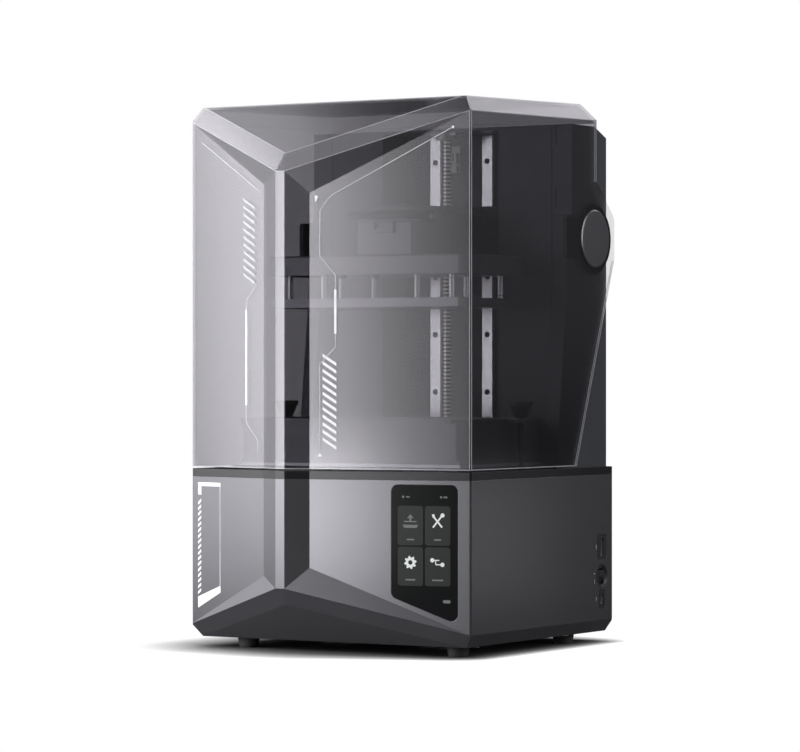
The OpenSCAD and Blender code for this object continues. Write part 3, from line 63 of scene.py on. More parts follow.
def principled(tree, out, color, metallic, rough):
    sh = tree.nodes.new("ShaderNodeBsdfPrincipled")
    sh.inputs["Base Color"].default_value = (*color, 1)
    sh.inputs["Metallic"].default_value = metallic
    sh.inputs["Roughness"].default_value = rough
    link(tree, sh.outputs[0], out.inputs["Surface"])
    return sh


def object_coords(tree, stretch=(1, 1, 1)):
    tc = tree.nodes.new("ShaderNodeTexCoord")
    mp = tree.nodes.new("ShaderNodeMapping")
    mp.inputs["Scale"].default_value = stretch
    link(tree, tc.outputs["Object"], mp.inputs["Vector"])
    return mp.outputs["Vector"]


def object_axis(tree, axis):
    """One of the object's own coordinates, X, Y or Z."""
    split = tree.nodes.new("ShaderNodeSeparateXYZ")
    link(tree, tree.nodes.new("ShaderNodeTexCoord").outputs["Object"], split.inputs[0])
    return split.outputs[axis]


def map_range(tree, value, ends):
    """A straight change: from ends[0] to ends[1] the result goes from ends[2] to ends[3]."""
    m = tree.nodes.new("ShaderNodeMapRange")
    names = ("From Min", "From Max", "To Min", "To Max")
    for socket, end in zip(names, ends):
        m.inputs[socket].default_value = end
    link(tree, value, m.inputs["Value"])
    return m.outputs["Result"]


def noise(tree, vec, scale, detail=3.0, rough=0.55):
    n = tree.nodes.new("ShaderNodeTexNoise")
    n.inputs["Scale"].default_value = scale
    n.inputs["Detail"].default_value = detail
    n.inputs["Roughness"].default_value = rough
    link(tree, vec, n.inputs["Vector"])
    return n.outputs["Fac"]


def ramp_range(tree, value, lo, hi):
    return map_range(tree, value, (*NOISE_ENDS, lo, hi))


def tint_range(tree, value, color, spread):
    r = tree.nodes.new("ShaderNodeValToRGB")
    r.color_ramp.elements[0].position, r.color_ramp.elements[1].position = NOISE_ENDS
    r.color_ramp.elements[0].color = (*[c * (1 - spread) for c in color], 1)
    r.color_ramp.elements[1].color = (*[min(c * (1 + spread), 1) for c in color], 1)
    link(tree, value, r.inputs["Fac"])
    return r.outputs["Color"]


def bump(tree, value, strength, distance, sh):
    b = tree.nodes.new("ShaderNodeBump")
    b.inputs["Strength"].default_value = strength
    b.inputs["Distance"].default_value = distance
    link(tree, value, b.inputs["Height"])
    link(tree, b.outputs["Normal"], sh.inputs["Normal"])
    return b


def soft_edges(tree, b, radius):
    """Edges catch the light as if they had a small radius."""
    e = tree.nodes.new("ShaderNodeBevel")
    e.samples = 4
    e.inputs["Radius"].default_value = radius
    link(tree, e.outputs["Normal"], b.inputs["Normal"])


# ------------------------------------------------------------------ materials


def grained(name, color, metallic, rough, grain=900.0, depth=0.00003, spread=0.06, edge=0.0,
            stretch=(1, 1, 1), coat=0.0, shine=0.5):
    """Paint, moulded plastic or bead-blasted metal: fine grain, and a slow drift of tone and gloss."""
    mat, tree, out = new_material(name)
    sh = principled(tree, out, color, metallic, rough)
    sh.inputs["Coat Weight"].default_value = coat
    sh.inputs["Specular IOR Level"].default_value = shine
    vec = object_coords(tree, stretch)
    slow = noise(tree, vec, 14.0, 4.0)
    fine = noise(tree, vec, grain, 2.0)
    link(tree, tint_range(tree, slow, color, spread), sh.inputs["Base Color"])
    link(tree, ramp_range(tree, slow, rough * 0.9, min(rough * 1.12, 1)), sh.inputs["Roughness"])
    b = bump(tree, fine, 0.35, depth, sh)
    if edge:
        soft_edges(tree, b, edge)
    return mat


GROOVE_ENDS = (0.12, 0.30)   # shares of the pitch, from a groove's middle, between which its painted shade ends
GROOVE_PAINTED_SHADE = 0.12          # how bright the painted shade in a groove is beside the crest


def threaded(name, color, rough, node):
    """Turned steel whose grooves, cut in the node's own mesh, get painted shade: the base colour darkens
    towards each groove's middle.
    """
    mat, tree, out = new_material(name)
    sh = principled(tree, out, color, 1.0, rough)
    first, pitch = groove_places(node)
    turns = math_node(tree, "DIVIDE", math_node(tree, "SUBTRACT", object_axis(tree, "Z"), first), pitch)
    wave = math_node(tree, "PINGPONG", math_node(tree, "FRACT", turns), 0.5)
    # painted shade: a colour ramp darkens the base colour in each groove
    shade = tree.nodes.new("ShaderNodeValToRGB")
    shade.color_ramp.elements[0].position, shade.color_ramp.elements[1].position = GROOVE_ENDS
    shade.color_ramp.elements[0].color = (*[c * GROOVE_PAINTED_SHADE for c in color], 1)
    shade.color_ramp.elements[1].color = (*color, 1)
    link(tree, wave, shade.inputs["Fac"])
    link(tree, shade.outputs["Color"], sh.inputs["Base Color"])
    lines = noise(tree, object_coords(tree, (0.2, 0.2, 1)), 500.0, 3.0)
    link(tree, ramp_range(tree, lines, rough * 0.8, rough * 1.25), sh.inputs["Roughness"])
    bump(tree, lines, 0.3, 0.00002, sh)
    return mat


GROOVE_DEPTH = 0.2 * MM      # a point farther in than this lies on a groove's floor


def groove_places(node):
    """Height of a screw's first groove, and the step from one groove to the next."""
    points = [v.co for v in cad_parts[node].data.vertices]
    cx = (min(p.x for p in points) + max(p.x for p in points)) / 2
    cy = (min(p.y for p in points) + max(p.y for p in points)) / 2
    reach = [(math.hypot(p.x - cx, p.y - cy), p.z) for p in points]
    full = max(r for r, z in reach)
    floors = sorted({round(z, 5) for r, z in reach if full / 2 < r < full - GROOVE_DEPTH})
    return (floors[0] + floors[1]) / 2, floors[2] - floors[0]


def metallic_paint(name, color, metallic, rough):
    """Satin metallic paint: tiny flakes that differ in tone, over a slow mottle."""
    mat, tree, out = new_material(name)
    sh = principled(tree, out, color, metallic, rough)
    vec = object_coords(tree)
    flakes = tree.nodes.new("ShaderNodeTexVoronoi")
    flakes.inputs["Scale"].default_value = 2600.0
    link(tree, vec, flakes.inputs["Vector"])
    slow = noise(tree, vec, 9.0, 3.0)
    mix = tree.nodes.new("ShaderNodeMix")
    mix.inputs["Factor"].default_value = 0.2
    link(tree, slow, mix.inputs["A"])
    link(tree, flakes.outputs["Distance"], mix.inputs["B"])
    link(tree, tint_range(tree, mix.outputs["Result"], color, 0.1), sh.inputs["Base Color"])
    link(tree, ramp_range(tree, slow, rough * 0.96, rough * 1.04), sh.inputs["Roughness"])
    b = bump(tree, flakes.outputs["Distance"], 0.04, 0.00001, sh)
    soft_edges(tree, b, 0.0006)
    return mat


def ground(name, color, rough, stretch):
    """Ground or turned steel: fine lines along one way."""
    mat, tree, out = new_material(name)
    sh = principled(tree, out, color, 1.0, rough)
    vec = object_coords(tree, stretch)
    lines = noise(tree, vec, 500.0, 3.0)
    link(tree, tint_range(tree, lines, color, 0.1), sh.inputs["Base Color"])
    link(tree, ramp_range(tree, lines, rough * 0.8, rough * 1.25), sh.inputs["Roughness"])
    bump(tree, lines, 0.3, 0.00002, sh)
    return mat


# painted light: the hinge ears' near-clear tint, which makes them read paler
PAINTED_EAR_TINT = (0.95, 0.95, 0.955)
GLOSS_TINT = (0.97, 0.955, 1.0)
GRAZING_POWER = 5.0          # Schlick's rise of the gloss towards the edge-on view


def painted_pale_ears(tree, tint, start, end):
    """Painted light: a tint that fades to nearly clear between two places front to back, so that the hinge
    ears read paler than the rest of the sheet.
    """
    place = map_range(tree, object_axis(tree, "Y"), (start, end, 0.0, 1.0))
    mix = tree.nodes.new("ShaderNodeMix")
    mix.data_type = "RGBA"
    mix.inputs["A"].default_value = (*tint, 1)
    mix.inputs["B"].default_value = (*PAINTED_EAR_TINT, 1)
    link(tree, place, mix.inputs["Factor"])
    return mix.outputs["Result"]


def clear(name, tint, rough, smear, gloss_share, ear=None):
    """Tinted sheet: a see-through body, and a gloss that grows towards the edge-on view."""
    mat, tree, out = new_material(name)
    through = tree.nodes.new("ShaderNodeBsdfTransparent")
    through.inputs["Color"].default_value = (*tint, 1)
    # painted light: the tint clears towards the hinge ears so that they read paler
    if ear:
        link(tree, painted_pale_ears(tree, tint, *ear), through.inputs["Color"])
    gloss = tree.nodes.new("ShaderNodeBsdfGlossy")
    gloss.inputs["Color"].default_value = (*GLOSS_TINT, 1)
    vec = object_coords(tree)
    slow = noise(tree, vec, 7.0, 4.0)
    link(tree, ramp_range(tree, slow, rough, rough + smear), gloss.inputs["Roughness"])
    face = tree.nodes.new("ShaderNodeLayerWeight")
    face.inputs["Blend"].default_value = 0.5
    rise = math_node(tree, "POWER", face.outputs["Facing"], GRAZING_POWER)
    mix = tree.nodes.new("ShaderNodeMixShader")
    link(tree, math_node(tree, "MULTIPLY_ADD", rise, 1 - gloss_share, gloss_share), mix.inputs[0])
    link(tree, through.outputs[0], mix.inputs[1])
    link(tree, gloss.outputs[0], mix.inputs[2])
    link(tree, mix.outputs[0], out.inputs["Surface"])
    return mat


PAINTED_EDGE_GLOW = 0.14         # glow of the painted highlight on the cover's edge lines, which are no lamp


def painted_edge_highlight(name, color, cover):
    """Painted highlight for the sheet's edges: a near-white, partly see-through surface that glows a little.
    """
    mat, tree, out = new_material(name)
    sh = principled(tree, out, color, 0.0, 0.22)
    sh.inputs["Alpha"].default_value = cover
    sh.inputs["Emission Color"].default_value = (*color, 1)
    sh.inputs["Emission Strength"].default_value = PAINTED_EDGE_GLOW
    slow = noise(tree, object_coords(tree), 60.0, 2.0)
    link(tree, tint_range(tree, slow, color, 0.08), sh.inputs["Base Color"])
    return mat


def glowing(name, color, strength):
    """A lit part of the screen's picture, a little uneven as a backlight is."""
    mat, tree, out = new_material(name)
    sh = principled(tree, out, [c * 0.4 for c in color], 0.0, 0.3)
    sh.inputs["Specular IOR Level"].default_value = 0.15
    vec = object_coords(tree)
    slow = noise(tree, vec, 30.0, 2.0)
    link(tree, tint_range(tree, slow, color, 0.05), sh.inputs["Emission Color"])
    sh.inputs["Emission Strength"].default_value = strength
    return mat


def make_materials():
    m = {}
    m["base"] = metallic_paint("base_paint", (0.122, 0.120, 0.131), 0.66, 0.25)
    m["ledge"] = grained("ledge_paint", (0.018, 0.018, 0.020), 0.3, 0.26, edge=0.0005, shine=0.42)
    m["deck"] = grained("deck_coat", (0.022, 0.023, 0.026), 0.2, 0.5)
    m["panel"] = grained("panel_coat", (0.07, 0.075, 0.083), 0.4, 0.48, 700.0)
    m["tower"] = grained("tower_shell", (0.045, 0.047, 0.053), 0.25, 0.42, 800.0, edge=0.0005)
    # the cover's last pair: where the painted paleness of the hinge ears begins and ends
    m["cover"] = clear("cover_acrylic", (0.56, 0.555, 0.57), 0.17, 0.02, 0.08, (0.136, 0.148))
    m["dark"] = grained("dark_moulding", (0.014, 0.015, 0.017), 0.0, 0.42, 1100.0)
    m["ring"] = grained("hinge_arm_black", (0.008, 0.008, 0.009), 0.0, 0.36, 1000.0, shine=0.2)
    m["cap"] = grained("hinge_cap_grey", (0.17, 0.17, 0.185), 0.85, 0.32, 900.0, edge=0.0022)
    m["white"] = grained("white_moulding", (0.72, 0.72, 0.70), 0.0, 0.42, 900.0)
    m["glass"] = grained("touch_glass", (0.006, 0.0065, 0.007), 0.0, 0.12, 300.0, 0.000002, shine=0.12)
    m["rubber"] = grained("foot_rubber", (0.018, 0.018, 0.018), 0.0, 0.75, 500.0, 0.00008)
    m["alloy"] = grained("dark_anodised", (0.045, 0.048, 0.055), 0.8, 0.38, 1500.0, edge=0.0004)
    m["arm"] = grained("arm_anodised", (0.20, 0.20, 0.21), 0.75, 0.42, 1500.0, edge=0.0008)
    m["grey"] = grained("grey_anodised", (0.27, 0.27, 0.285), 0.85, 0.36, 1500.0, edge=0.0004)
    m["vat"] = grained("vat_anodised", (0.16, 0.16, 0.17), 0.8, 0.4, 1400.0, edge=0.0005)
    m["bright"] = grained("bright_blasted", (0.55, 0.56, 0.58), 0.9, 0.4, 1300.0)
    m["steel"] = ground("ground_steel", (0.93, 0.93, 0.95), 0.20, (1, 1, 0.04))
    m["turned"] = ground("turned_steel", (0.50, 0.51, 0.53), 0.3, (0.2, 0.2, 1))
    m["screw"] = threaded("threaded_steel", (0.88, 0.88, 0.90), 0.32, "z_screw")
    # painted highlight: the near-white, glowing lines along the cover's edges
    m["edge"] = painted_edge_highlight("cover_edge", (0.86, 0.86, 0.89), 0.75)
    m["black_steel"] = grained("black_oxide", (0.022, 0.022, 0.025), 0.8, 0.35, 1200.0)
    m["polished"] = ground("polished_steel", (0.93, 0.93, 0.95), 0.3, (0.1, 0.1, 1))
    m["brass"] = ground("turned_brass", (0.50, 0.36, 0.16), 0.3, (0.2, 0.2, 1))
    m["film"] = clear("release_film", (0.93, 0.94, 0.95), 0.03, 0.05, 0.045)
    m["lens"] = clear("lens_sheet", (0.88, 0.90, 0.92), 0.05, 0.05, 0.045)
    m["lcd"] = grained("lcd_face", (0.006, 0.006, 0.009), 0.0, 0.12, 300.0, 0.000002, coat=0.6)
    m["board"] = grained("solder_mask", (0.018, 0.085, 0.045), 0.0, 0.4, 900.0, 0.00005, 0.15)
    m["tile"] = glowing("screen_tile", (0.020, 0.0225, 0.021), 0.6)
    m["icon"] = glowing("screen_icon", (0.56, 0.58, 0.58), 0.85)
    m["dim"] = glowing("screen_icon_dim", (0.115, 0.125, 0.12), 0.9)
    m["print"] = grained("white_print", (0.80, 0.81, 0.82), 0.0, 0.5, 600.0, 0.00001, 0.02)
    m["print_dim"] = grained("grey_print", (0.42, 0.43, 0.45), 0.0, 0.5, 600.0, 0.00001, 0.02)
    return m


LOOKS = {
    "base": ["base_shell"],
    "ledge": ["ledge_frame"],
    "deck": ["deck_plate"],
    "panel": ["bottom_plate", "tower_back_cover"],
    "tower": ["tower_shell"],
    "cover": ["cover_shell"],
    "dark": ["side_bezel", "switch_body", "power_inlet", "fan_frame", "fan_rotor", "screen_module",
             "thumb_screw_left", "thumb_screw_right", "power_rocker"],
    "ring": ["hinge_arm_left", "hinge_arm_right"],
    "cap": ["hinge_cap_left", "hinge_cap_right"],
    "white": ["limit_sensor", "led_board"],
    "glass": ["screen_glass"],
    "rubber": ["feet"],
    "alloy": ["tilt_frame", "light_box"],
    "arm": ["arm", "platform_block", "platform_pan"],
    "grey": ["build_plate", "motor_coupler", "screw_top_bearing"],
    "vat": ["vat_body"],
    "bright": ["led_heatsink", "film_frame", "power_supply"],
    "steel": ["rail_left", "rail_right", "deck_posts", "inner_stands", "tilt_pivots"],
    "screw": ["z_screw"],
    "turned": ["tilt_rod", "hinge_pins", "lever_pin", "case_screws"],
    "black_steel": ["rail_screws", "carriage_plate", "guide_blocks", "z_motor", "tilt_motor", "clamp_lever"],
    "polished": ["platform_pillars", "side_ports"],
    "brass": ["screw_nut"],
    "film": ["release_film"],
    "lens": ["light_lens"],
    "lcd": ["lcd_panel"],
    "board": ["mainboard"],
}


def dress_nodes(mats):
    """Each CAD node takes the one material of its look."""
    for look, nodes in LOOKS.items():
        for node in nodes:
            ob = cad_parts[node]
            ob.data.materials.clear()
            ob.data.materials.append(mats[look])


# ------------------------------------------------------------------ marks on panels


class Panel:
    """A flat panel: a corner, the way along it and its outward normal; marks are drawn as (s, z) in mm."""

    def __init__(self, a, b):
        self.a = Vector((a[0], a[1], 0)) * MM
        self.u = (Vector((b[0] - a[0], b[1] - a[1], 0))).normalized()
        self.n = Vector((self.u.y, -self.u.x, 0))

    def at(self, s, z, off=PROUD):
        return self.a + self.u * (s * MM) + Vector((0, 0, z * MM)) + self.n * off


# front panels and right side, from their lower corners in plan
LEFT = Panel((-162.7, -126.4), (-56.67, -155.32))
RIGHT = Panel((-3.85, -154.06), (162.7, -126.4))
SIDE = Panel((162.7, -126.4), (162.7, 161.1))


def piece(name, bm, mat, body):
    me = bpy.data.meshes.new(name)
    bm.to_mesh(me)
    bm.free()
    ob = bpy.data.objects.new(name, me)
    bpy.context.scene.collection.objects.link(ob)
    me.materials.append(mat)
    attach(ob, body)


INK = 0.00010            # thickness of a print
PIXEL = 0.00006          # thickness of a layer of the screen's picture


def mark(name, panel, shapes, mat, body, thick=INK, off=0.0):
    """Thin raised print or a lit picture element: each shape is a closed outline in (s, z)."""
    bm = bmesh.new()
    for pts in shapes:
        low = [bm.verts.new(panel.at(s, z, off)) for s, z in pts]
        high = [bm.verts.new(panel.at(s, z, off + thick)) for s, z in pts]
        bm.faces.new(high)
        bm.faces.new(list(reversed(low)))
        for i in range(len(pts)):
            j = (i + 1) % len(pts)
            bm.faces.new((low[i], low[j], high[j], high[i]))
    bmesh.ops.recalc_face_normals(bm, faces=bm.faces)
    piece(name, bm, mat, body)


def rect(s0, z0, s1, z1):
    return [(s0, z0), (s1, z0), (s1, z1), (s0, z1)]


def rrect(s0, z0, s1, z1, r, steps=5):
    pts = []
    corners = ((s1 - r, z0 + r, -90), (s1 - r, z1 - r, 0), (s0 + r, z1 - r, 90), (s0 + r, z0 + r, 180))
    for cs, cz, a0 in corners:
        for k in range(steps + 1):
            a = math.radians(a0 + 90 * k / steps)
            pts.append((cs + r * math.cos(a), cz + r * math.sin(a)))
    return pts


def disc(s, z, r, steps=24):
    return [(s + r * math.cos(2 * math.pi * k / steps), z + r * math.sin(2 * math.pi * k / steps))
            for k in range(steps)]


def bar(a, b, w):
    d = Vector((b[0] - a[0], b[1] - a[1]))
    n = Vector((d.y, -d.x)).normalized() * (w / 2)
    return [(a[0] + n.x, a[1] + n.y), (b[0] + n.x, b[1] + n.y),
            (b[0] - n.x, b[1] - n.y), (a[0] - n.x, a[1] - n.y)]


def line(points, w):
    shapes = [bar(a, b, w) for a, b in zip(points, points[1:])]
    return shapes + [disc(s, z, w / 2, 10) for s, z in points[1:-1]]


def hatch(s0, s1, z0, z1, step, w, lean):
    shapes = []
    z = z0
    while z + lean <= z1:
        shapes.append([(s0, z), (s1, z + lean), (s1, z + lean + w), (s0, z + w)])
        z += step
    return shapes


def smaller(shapes, s, z, share=0.84):
    """The same shapes drawn in towards the point (s, z)."""
    return [[(s + (a - s) * share, z + (b - z) * share) for a, b in pts] for pts in shapes]


def gear(s, z, r, teeth=8):
    pts = []
    for k in range(teeth * 4):
        a = 2 * math.pi * (k + 0.5) / (teeth * 4)
        rr = r if k % 4 in (0, 1) else r * 0.76
        pts.append((s + rr * math.cos(a), z + rr * math.sin(a)))
    return pts


EDGE_R = 0.00042         # radius of a painted highlight line
ROOF_FOOT = 0.470        # above this every edge of the cover gets a painted highlight line
CORNER_X = 0.150         # beyond this the upright edges do too
RIM_TOP = 0.190          # and below this the rim's
UPRIGHT = 0.05           # an edge that rises more than this is upright
SHORT = 0.008            # shorter edges stay plain
SHARP = math.radians(5)  # and so do flatter folds
SUNK = 1.5 * EDGE_R      # how far the line's middle lies inside the sheet


def gets_painted_highlight(a, b, fold):
    """True for a sharp outer edge at the roof, at a corner or along the rim, which gets a painted highlight
    line.
    """
    roof = min(a.z, b.z) > ROOF_FOOT
    corner = min(abs(a.x), abs(b.x)) > CORNER_X and abs(a.z - b.z) > UPRIGHT
    rim = max(a.z, b.z) < RIM_TOP
    return fold > SHARP and (a - b).length > SHORT and (roof or corner or rim)


def cover_highlight_lines(mats):
    """Thin lines of painted highlight along the cover's outer edges, sunk a little so that none stands
    proud.
    """
    source = bmesh.new()
    source.from_mesh(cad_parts["cover_shell"].data)
    bmesh.ops.remove_doubles(source, verts=source.verts, dist=1e-6)
    bmesh.ops.dissolve_limit(source, angle_limit=math.radians(1), verts=source.verts, edges=source.edges)
    bm = bmesh.new()
    for e in source.edges:
        if len(e.link_faces) != 2:
            continue
        fold = e.calc_face_angle_signed(0.0)
        a, b = e.verts[0].co, e.verts[1].co
        if gets_painted_highlight(a, b, fold):
            inward = -(e.link_faces[0].normal + e.link_faces[1].normal).normalized() * SUNK
            # each rod is a line of painted highlight along a sharp fold
            rod(bm, a + inward, b + inward, EDGE_R)
    source.free()
    piece("cover_highlight_lines", bm, mats["edge"], "cover")


def rod(bm, a, b, r, sides=8):
    """A closed straight rod from a to b."""
    way = (b - a).normalized()
    across = way.orthogonal().normalized()
    up = way.cross(across)
    rings = []
    for end in (a, b):
        turn = [2 * math.pi * k / sides for k in range(sides)]
        rings.append([bm.verts.new(end + (across * math.cos(t) + up * math.sin(t)) * r) for t in turn])
    low, high = rings
    for k in range(sides):
        j = (k + 1) % sides
        bm.faces.new((low[k], low[j], high[j], high[k]))
    bm.faces.new(list(reversed(low)))
    bm.faces.new(high)


THIN = 0.9               # width of the printed lines on the cover, in mm


def on_cover(name, panel, shapes, mat):
    mark(name, panel, shapes, mat, "cover")


def on_base(name, panel, shapes, mat):
    mark(name, panel, shapes, mat, "base")


def cover_prints(mats):
    """Lines, bars, hatching and dots on the two front panels of the cover."""
    white, dim = mats["print"], mats["print_dim"]
    right = [(150.2, 511.0), (22.0, 447.0), (11.2, 433.6), (10.8, 388.7), (27.5, 370.0), (27.5, 356.0)]
    low = [(27.5, 313.0), (27.5, 300.0), (10.8, 283.5), (10.8, 196.0)]
    on_cover("cover_line_right", RIGHT, line(right, THIN) + line(low, THIN), dim)
    arrow = [(6.2, 441), (9.4, 447), (5.6, 448)]
    on_cover("cover_bar_right", RIGHT, [rect(26.2, 313, 28.6, 356), arrow], white)
    on_cover("cover_hatch_right", RIGHT, hatch(28.5, 14.0, 200, 293, 7.4, 3.2, 9.0), white)
    on_cover("cover_dots_right", RIGHT, [disc(10.8, 194.5, 1.7), disc(150.2, 511.0, 1.3)], white)
    left = [(16.6, 505.3), (101.0, 455.0)]
    down = [(98.4, 361.5), (83.8, 345.9), (83.8, 337.0)]
    low = [(83.8, 243.0), (83.8, 225.3), (101.0, 208.8), (101.0, 197.0)]
    on_cover("cover_line_left", LEFT, line(left, THIN) + line(down, THIN) + line(low, THIN), dim)
    on_cover("cover_bar_left", LEFT, [rect(82.6, 243, 85.0, 337)], white)
    on_cover("cover_hatch_left", LEFT, hatch(96.5, 79.5, 362, 447, 7.4, 2.8, 9.0), dim)


def base_prints(mats):
    """A bracket with hatching at the left of the base, and small marks beside the ports."""
    white, dim = mats["print"], mats["print_dim"]
    band = [(10.0, 39.5), (44.5, 56.1), (44.5, 62.7), (10.0, 50.7)]
    bracket = [rect(10.0, 161.6, 44.5, 165.3), rect(10.0, 153.0, 15.0, 161.6), band]
    on_base("base_frame_left", LEFT, bracket, white)
    on_base("base_frame_line", LEFT, [rect(43.3, 62.7, 44.5, 161.6)], dim)
    on_base("base_hatch_left", LEFT, hatch(10.0, 14.6, 53, 151, 5.6, 2.8, 3.4), white)
    ticks = [rect(251.5, z - 2.6, 252.3, z + 2.6) for z in (97.5, 44.6)]
    rings = [rect(246.6, 70.6, 250.0, 71.2), rect(248.0, 60.5, 248.6, 64.5)]
    on_base("port_ticks", SIDE, ticks + rings, dim)


def on_screen(name, shapes, mat, layer=1):
    mark(name, RIGHT, shapes, mat, "base", PIXEL, layer * PIXEL)


def screen_picture(mats):
    """Four plain tiles with symbols, and small bars where the screen's words would be."""
    tiles = [rrect(93.0, 108.6, 119.2, 146.6, 2.6), rrect(121.2, 108.6, 147.4, 146.6, 2.6),
             rrect(93.0, 69.6, 119.2, 107.0, 2.6), rrect(121.2, 69.6, 147.4, 107.0, 2.6)]
    on_screen("screen_tiles", tiles, mats["tile"], 0)
    tray = [[(98.5, 124.5), (113.7, 124.5), (115.7, 128.0), (96.5, 128.0)], rect(98.5, 131.0, 113.7, 132.4),
            [(106.1, 140.2), (102.0, 135.6), (110.2, 135.6)], rect(105.0, 131.8, 107.2, 136.0)]
    on_screen("icon_tray", smaller(tray, 106.1, 130.0), mats["dim"])
    tools = [bar((128.6, 125.0), (139.6, 138.4), 2.0), bar((139.8, 125.2), (129.2, 137.6), 2.0),
             disc(140.4, 139.0, 2.7, 6), [(127.2, 139.8), (130.2, 140.4), (131.2, 136.8), (128.4, 136.0)]]
    on_screen("icon_tools", smaller(tools, 134.3, 131.5), mats["icon"])
    on_screen("icon_gear", [gear(106.1, 92.0, 6.4)], mats["icon"])
    on_screen("icon_gear_eye", [disc(106.1, 92.0, 2.2)], mats["tile"], 2)
    slider = [disc(127.8, 95.0, 2.5), disc(140.2, 90.0, 2.5), bar((127.8, 95.0), (136.4, 95.0), 1.2),
              bar((132.0, 90.0), (140.2, 90.0), 1.2), bar((132.0, 90.0), (132.0, 95.0), 1.2)]
    on_screen("icon_slider", smaller(slider, 134.3, 92.0), mats["icon"])
    labels = [rrect(102.2, 113.4, 110.0, 114.8, 0.6), rrect(130.6, 113.4, 138.0, 114.8, 0.6),
              rrect(101.0, 74.6, 111.2, 76.0, 0.6), rrect(128.6, 74.6, 140.2, 76.0, 0.6)]
    status = [disc(98.6, 155.2, 1.2), rrect(101.6, 154.6, 105.4, 155.8, 0.5),
              rect(137.0, 154.2, 139.0, 156.2), rrect(140.4, 154.4, 144.4, 156.0, 0.6),
              rrect(139.8, 53.4, 147.6, 56.4, 1.2)]
    on_screen("screen_labels", labels + status, mats["dim"])


# ------------------------------------------------------------------ room, lights, camera

YAW = 31.5
CAMERA_AT = (1.8912, -3.0775, 0.2718)
LENS = 160.65
FADE_FROM, FADE_TO = 0.32, 0.62      # where the paper starts and ends melting into the white
PAINTED_SHADOW_REACH = (0.00, 0.17, 0.076, 0.027)    # from x to x, the reach of the painted contact shadow under the object
PAINTED_SHADOW_POWER = 3.2                  # how fast the painted contact shadow deepens
PAPER = 0.88                         # tone of the paper itself
PAPER_GLOW = 1.08                    # its evenly bright white, which the painted contact shadow darkens
PAPER_SHARE = 0.93                   # how much of the seen floor is that white
FLOOR_PAINTED_LIGHT_AND_SHADE = ((-0.9, 0.22), (-0.5, 0.18), (0.12, 0.18), (0.20, 0.02))  # x, tone in reflections: painted a little paler to the left, and painted black to the right, where the object's shadow falls
DARK_SIDE = (0.42, -0.86, -0.30)     # the way in which the room is darkest
ROOM_TONES = ((0.0, (0.09, 0.09, 0.095)), (0.35, (0.16, 0.16, 0.17)), (0.8, (0.02, 0.02, 0.022)))
KEY_FULL, KEY_DROP = -0.415, 0.085   # where the key starts to fall off, and how fast
LAMPS = {                            # place, aim, size and watts
    "key": ((-0.847, -1.358, 0.50), (-0.067, -0.078, 0.34), (1.983, 1.7), 62),
    "left": ((-1.76, -0.25, 0.50), (0, -0.2, 0.36), (1.2, 1.7), 12.5),
    "low_front": ((-0.275, -0.92, 0.09), (0.005, -0.14, 0.09), (0.30, 0.17), 0.74),
    "low_side": ((0.60, 0.47, 0.085), (0.163, -0.07, 0.085), (0.30, 0.15), 0.06),
    "band_left": ((-1.24, -0.75, 1.44), (-0.10, -0.14, 0.50), (0.9, 0.45), 9.0),
    "band_right": ((-0.72, -0.92, 1.69), (0.03, -0.15, 0.50), (0.35, 0.3), 0.45),
    "over": ((-1.08, -0.52, 1.77), (-0.05, -0.13, 0.53), (0.45, 0.4), 1.3),
    "behind": ((0.41, 1.42, 1.31), (0.157, 0.0, 0.539), (0.6, 0.6), 2.4),
    "right": ((1.45, 0.15, 0.75), (0.16, 0, 0.35), (1.0, 1.2), 16),
    "top": ((-0.2, 0.1, 2.3), (0, 0, 0.3), (1.0, 1.0), 10),
}


def floor_fade(tree):
    """1 around the object, 0 farther out, where the paper melts into the white behind it."""
    tc = tree.nodes.new("ShaderNodeTexCoord")
    far = tree.nodes.new("ShaderNodeVectorMath")
    far.operation = "LENGTH"
    link(tree, tc.outputs["Object"], far.inputs[0])
    fade = tree.nodes.new("ShaderNodeMapRange")
    fade.interpolation_type = "SMOOTHSTEP"
    fade.inputs["From Min"].default_value = FADE_FROM
    fade.inputs["From Max"].default_value = FADE_TO
    fade.inputs["To Min"].default_value = 1.0
    fade.inputs["To Max"].default_value = 0.0
    link(tree, far.outputs["Value"], fade.inputs["Value"])
    return fade.outputs["Result"]


def painted_reflected_floor(tree):
    """The floor's tone in reflections: painted a little paler to the left, and painted black on the right,
    where the object's shadow falls.
    """
    start, end = FLOOR_PAINTED_LIGHT_AND_SHADE[0][0], FLOOR_PAINTED_LIGHT_AND_SHADE[-1][0]
    along = math_node(tree, "SUBTRACT", object_axis(tree, "X"), start)
    along = math_node(tree, "DIVIDE", along, end - start)
    ramp = tree.nodes.new("ShaderNodeValToRGB")
    stops = ramp.color_ramp.elements
    for k, (x, tone) in enumerate(FLOOR_PAINTED_LIGHT_AND_SHADE):
        stop = stops[k] if k < 2 else stops.new(1.0)
        stop.position = (x - start) / (end - start)
        stop.color = (tone, tone, tone * 1.04, 1)
    link(tree, along, ramp.inputs["Fac"])
    return ramp.outputs["Color"]


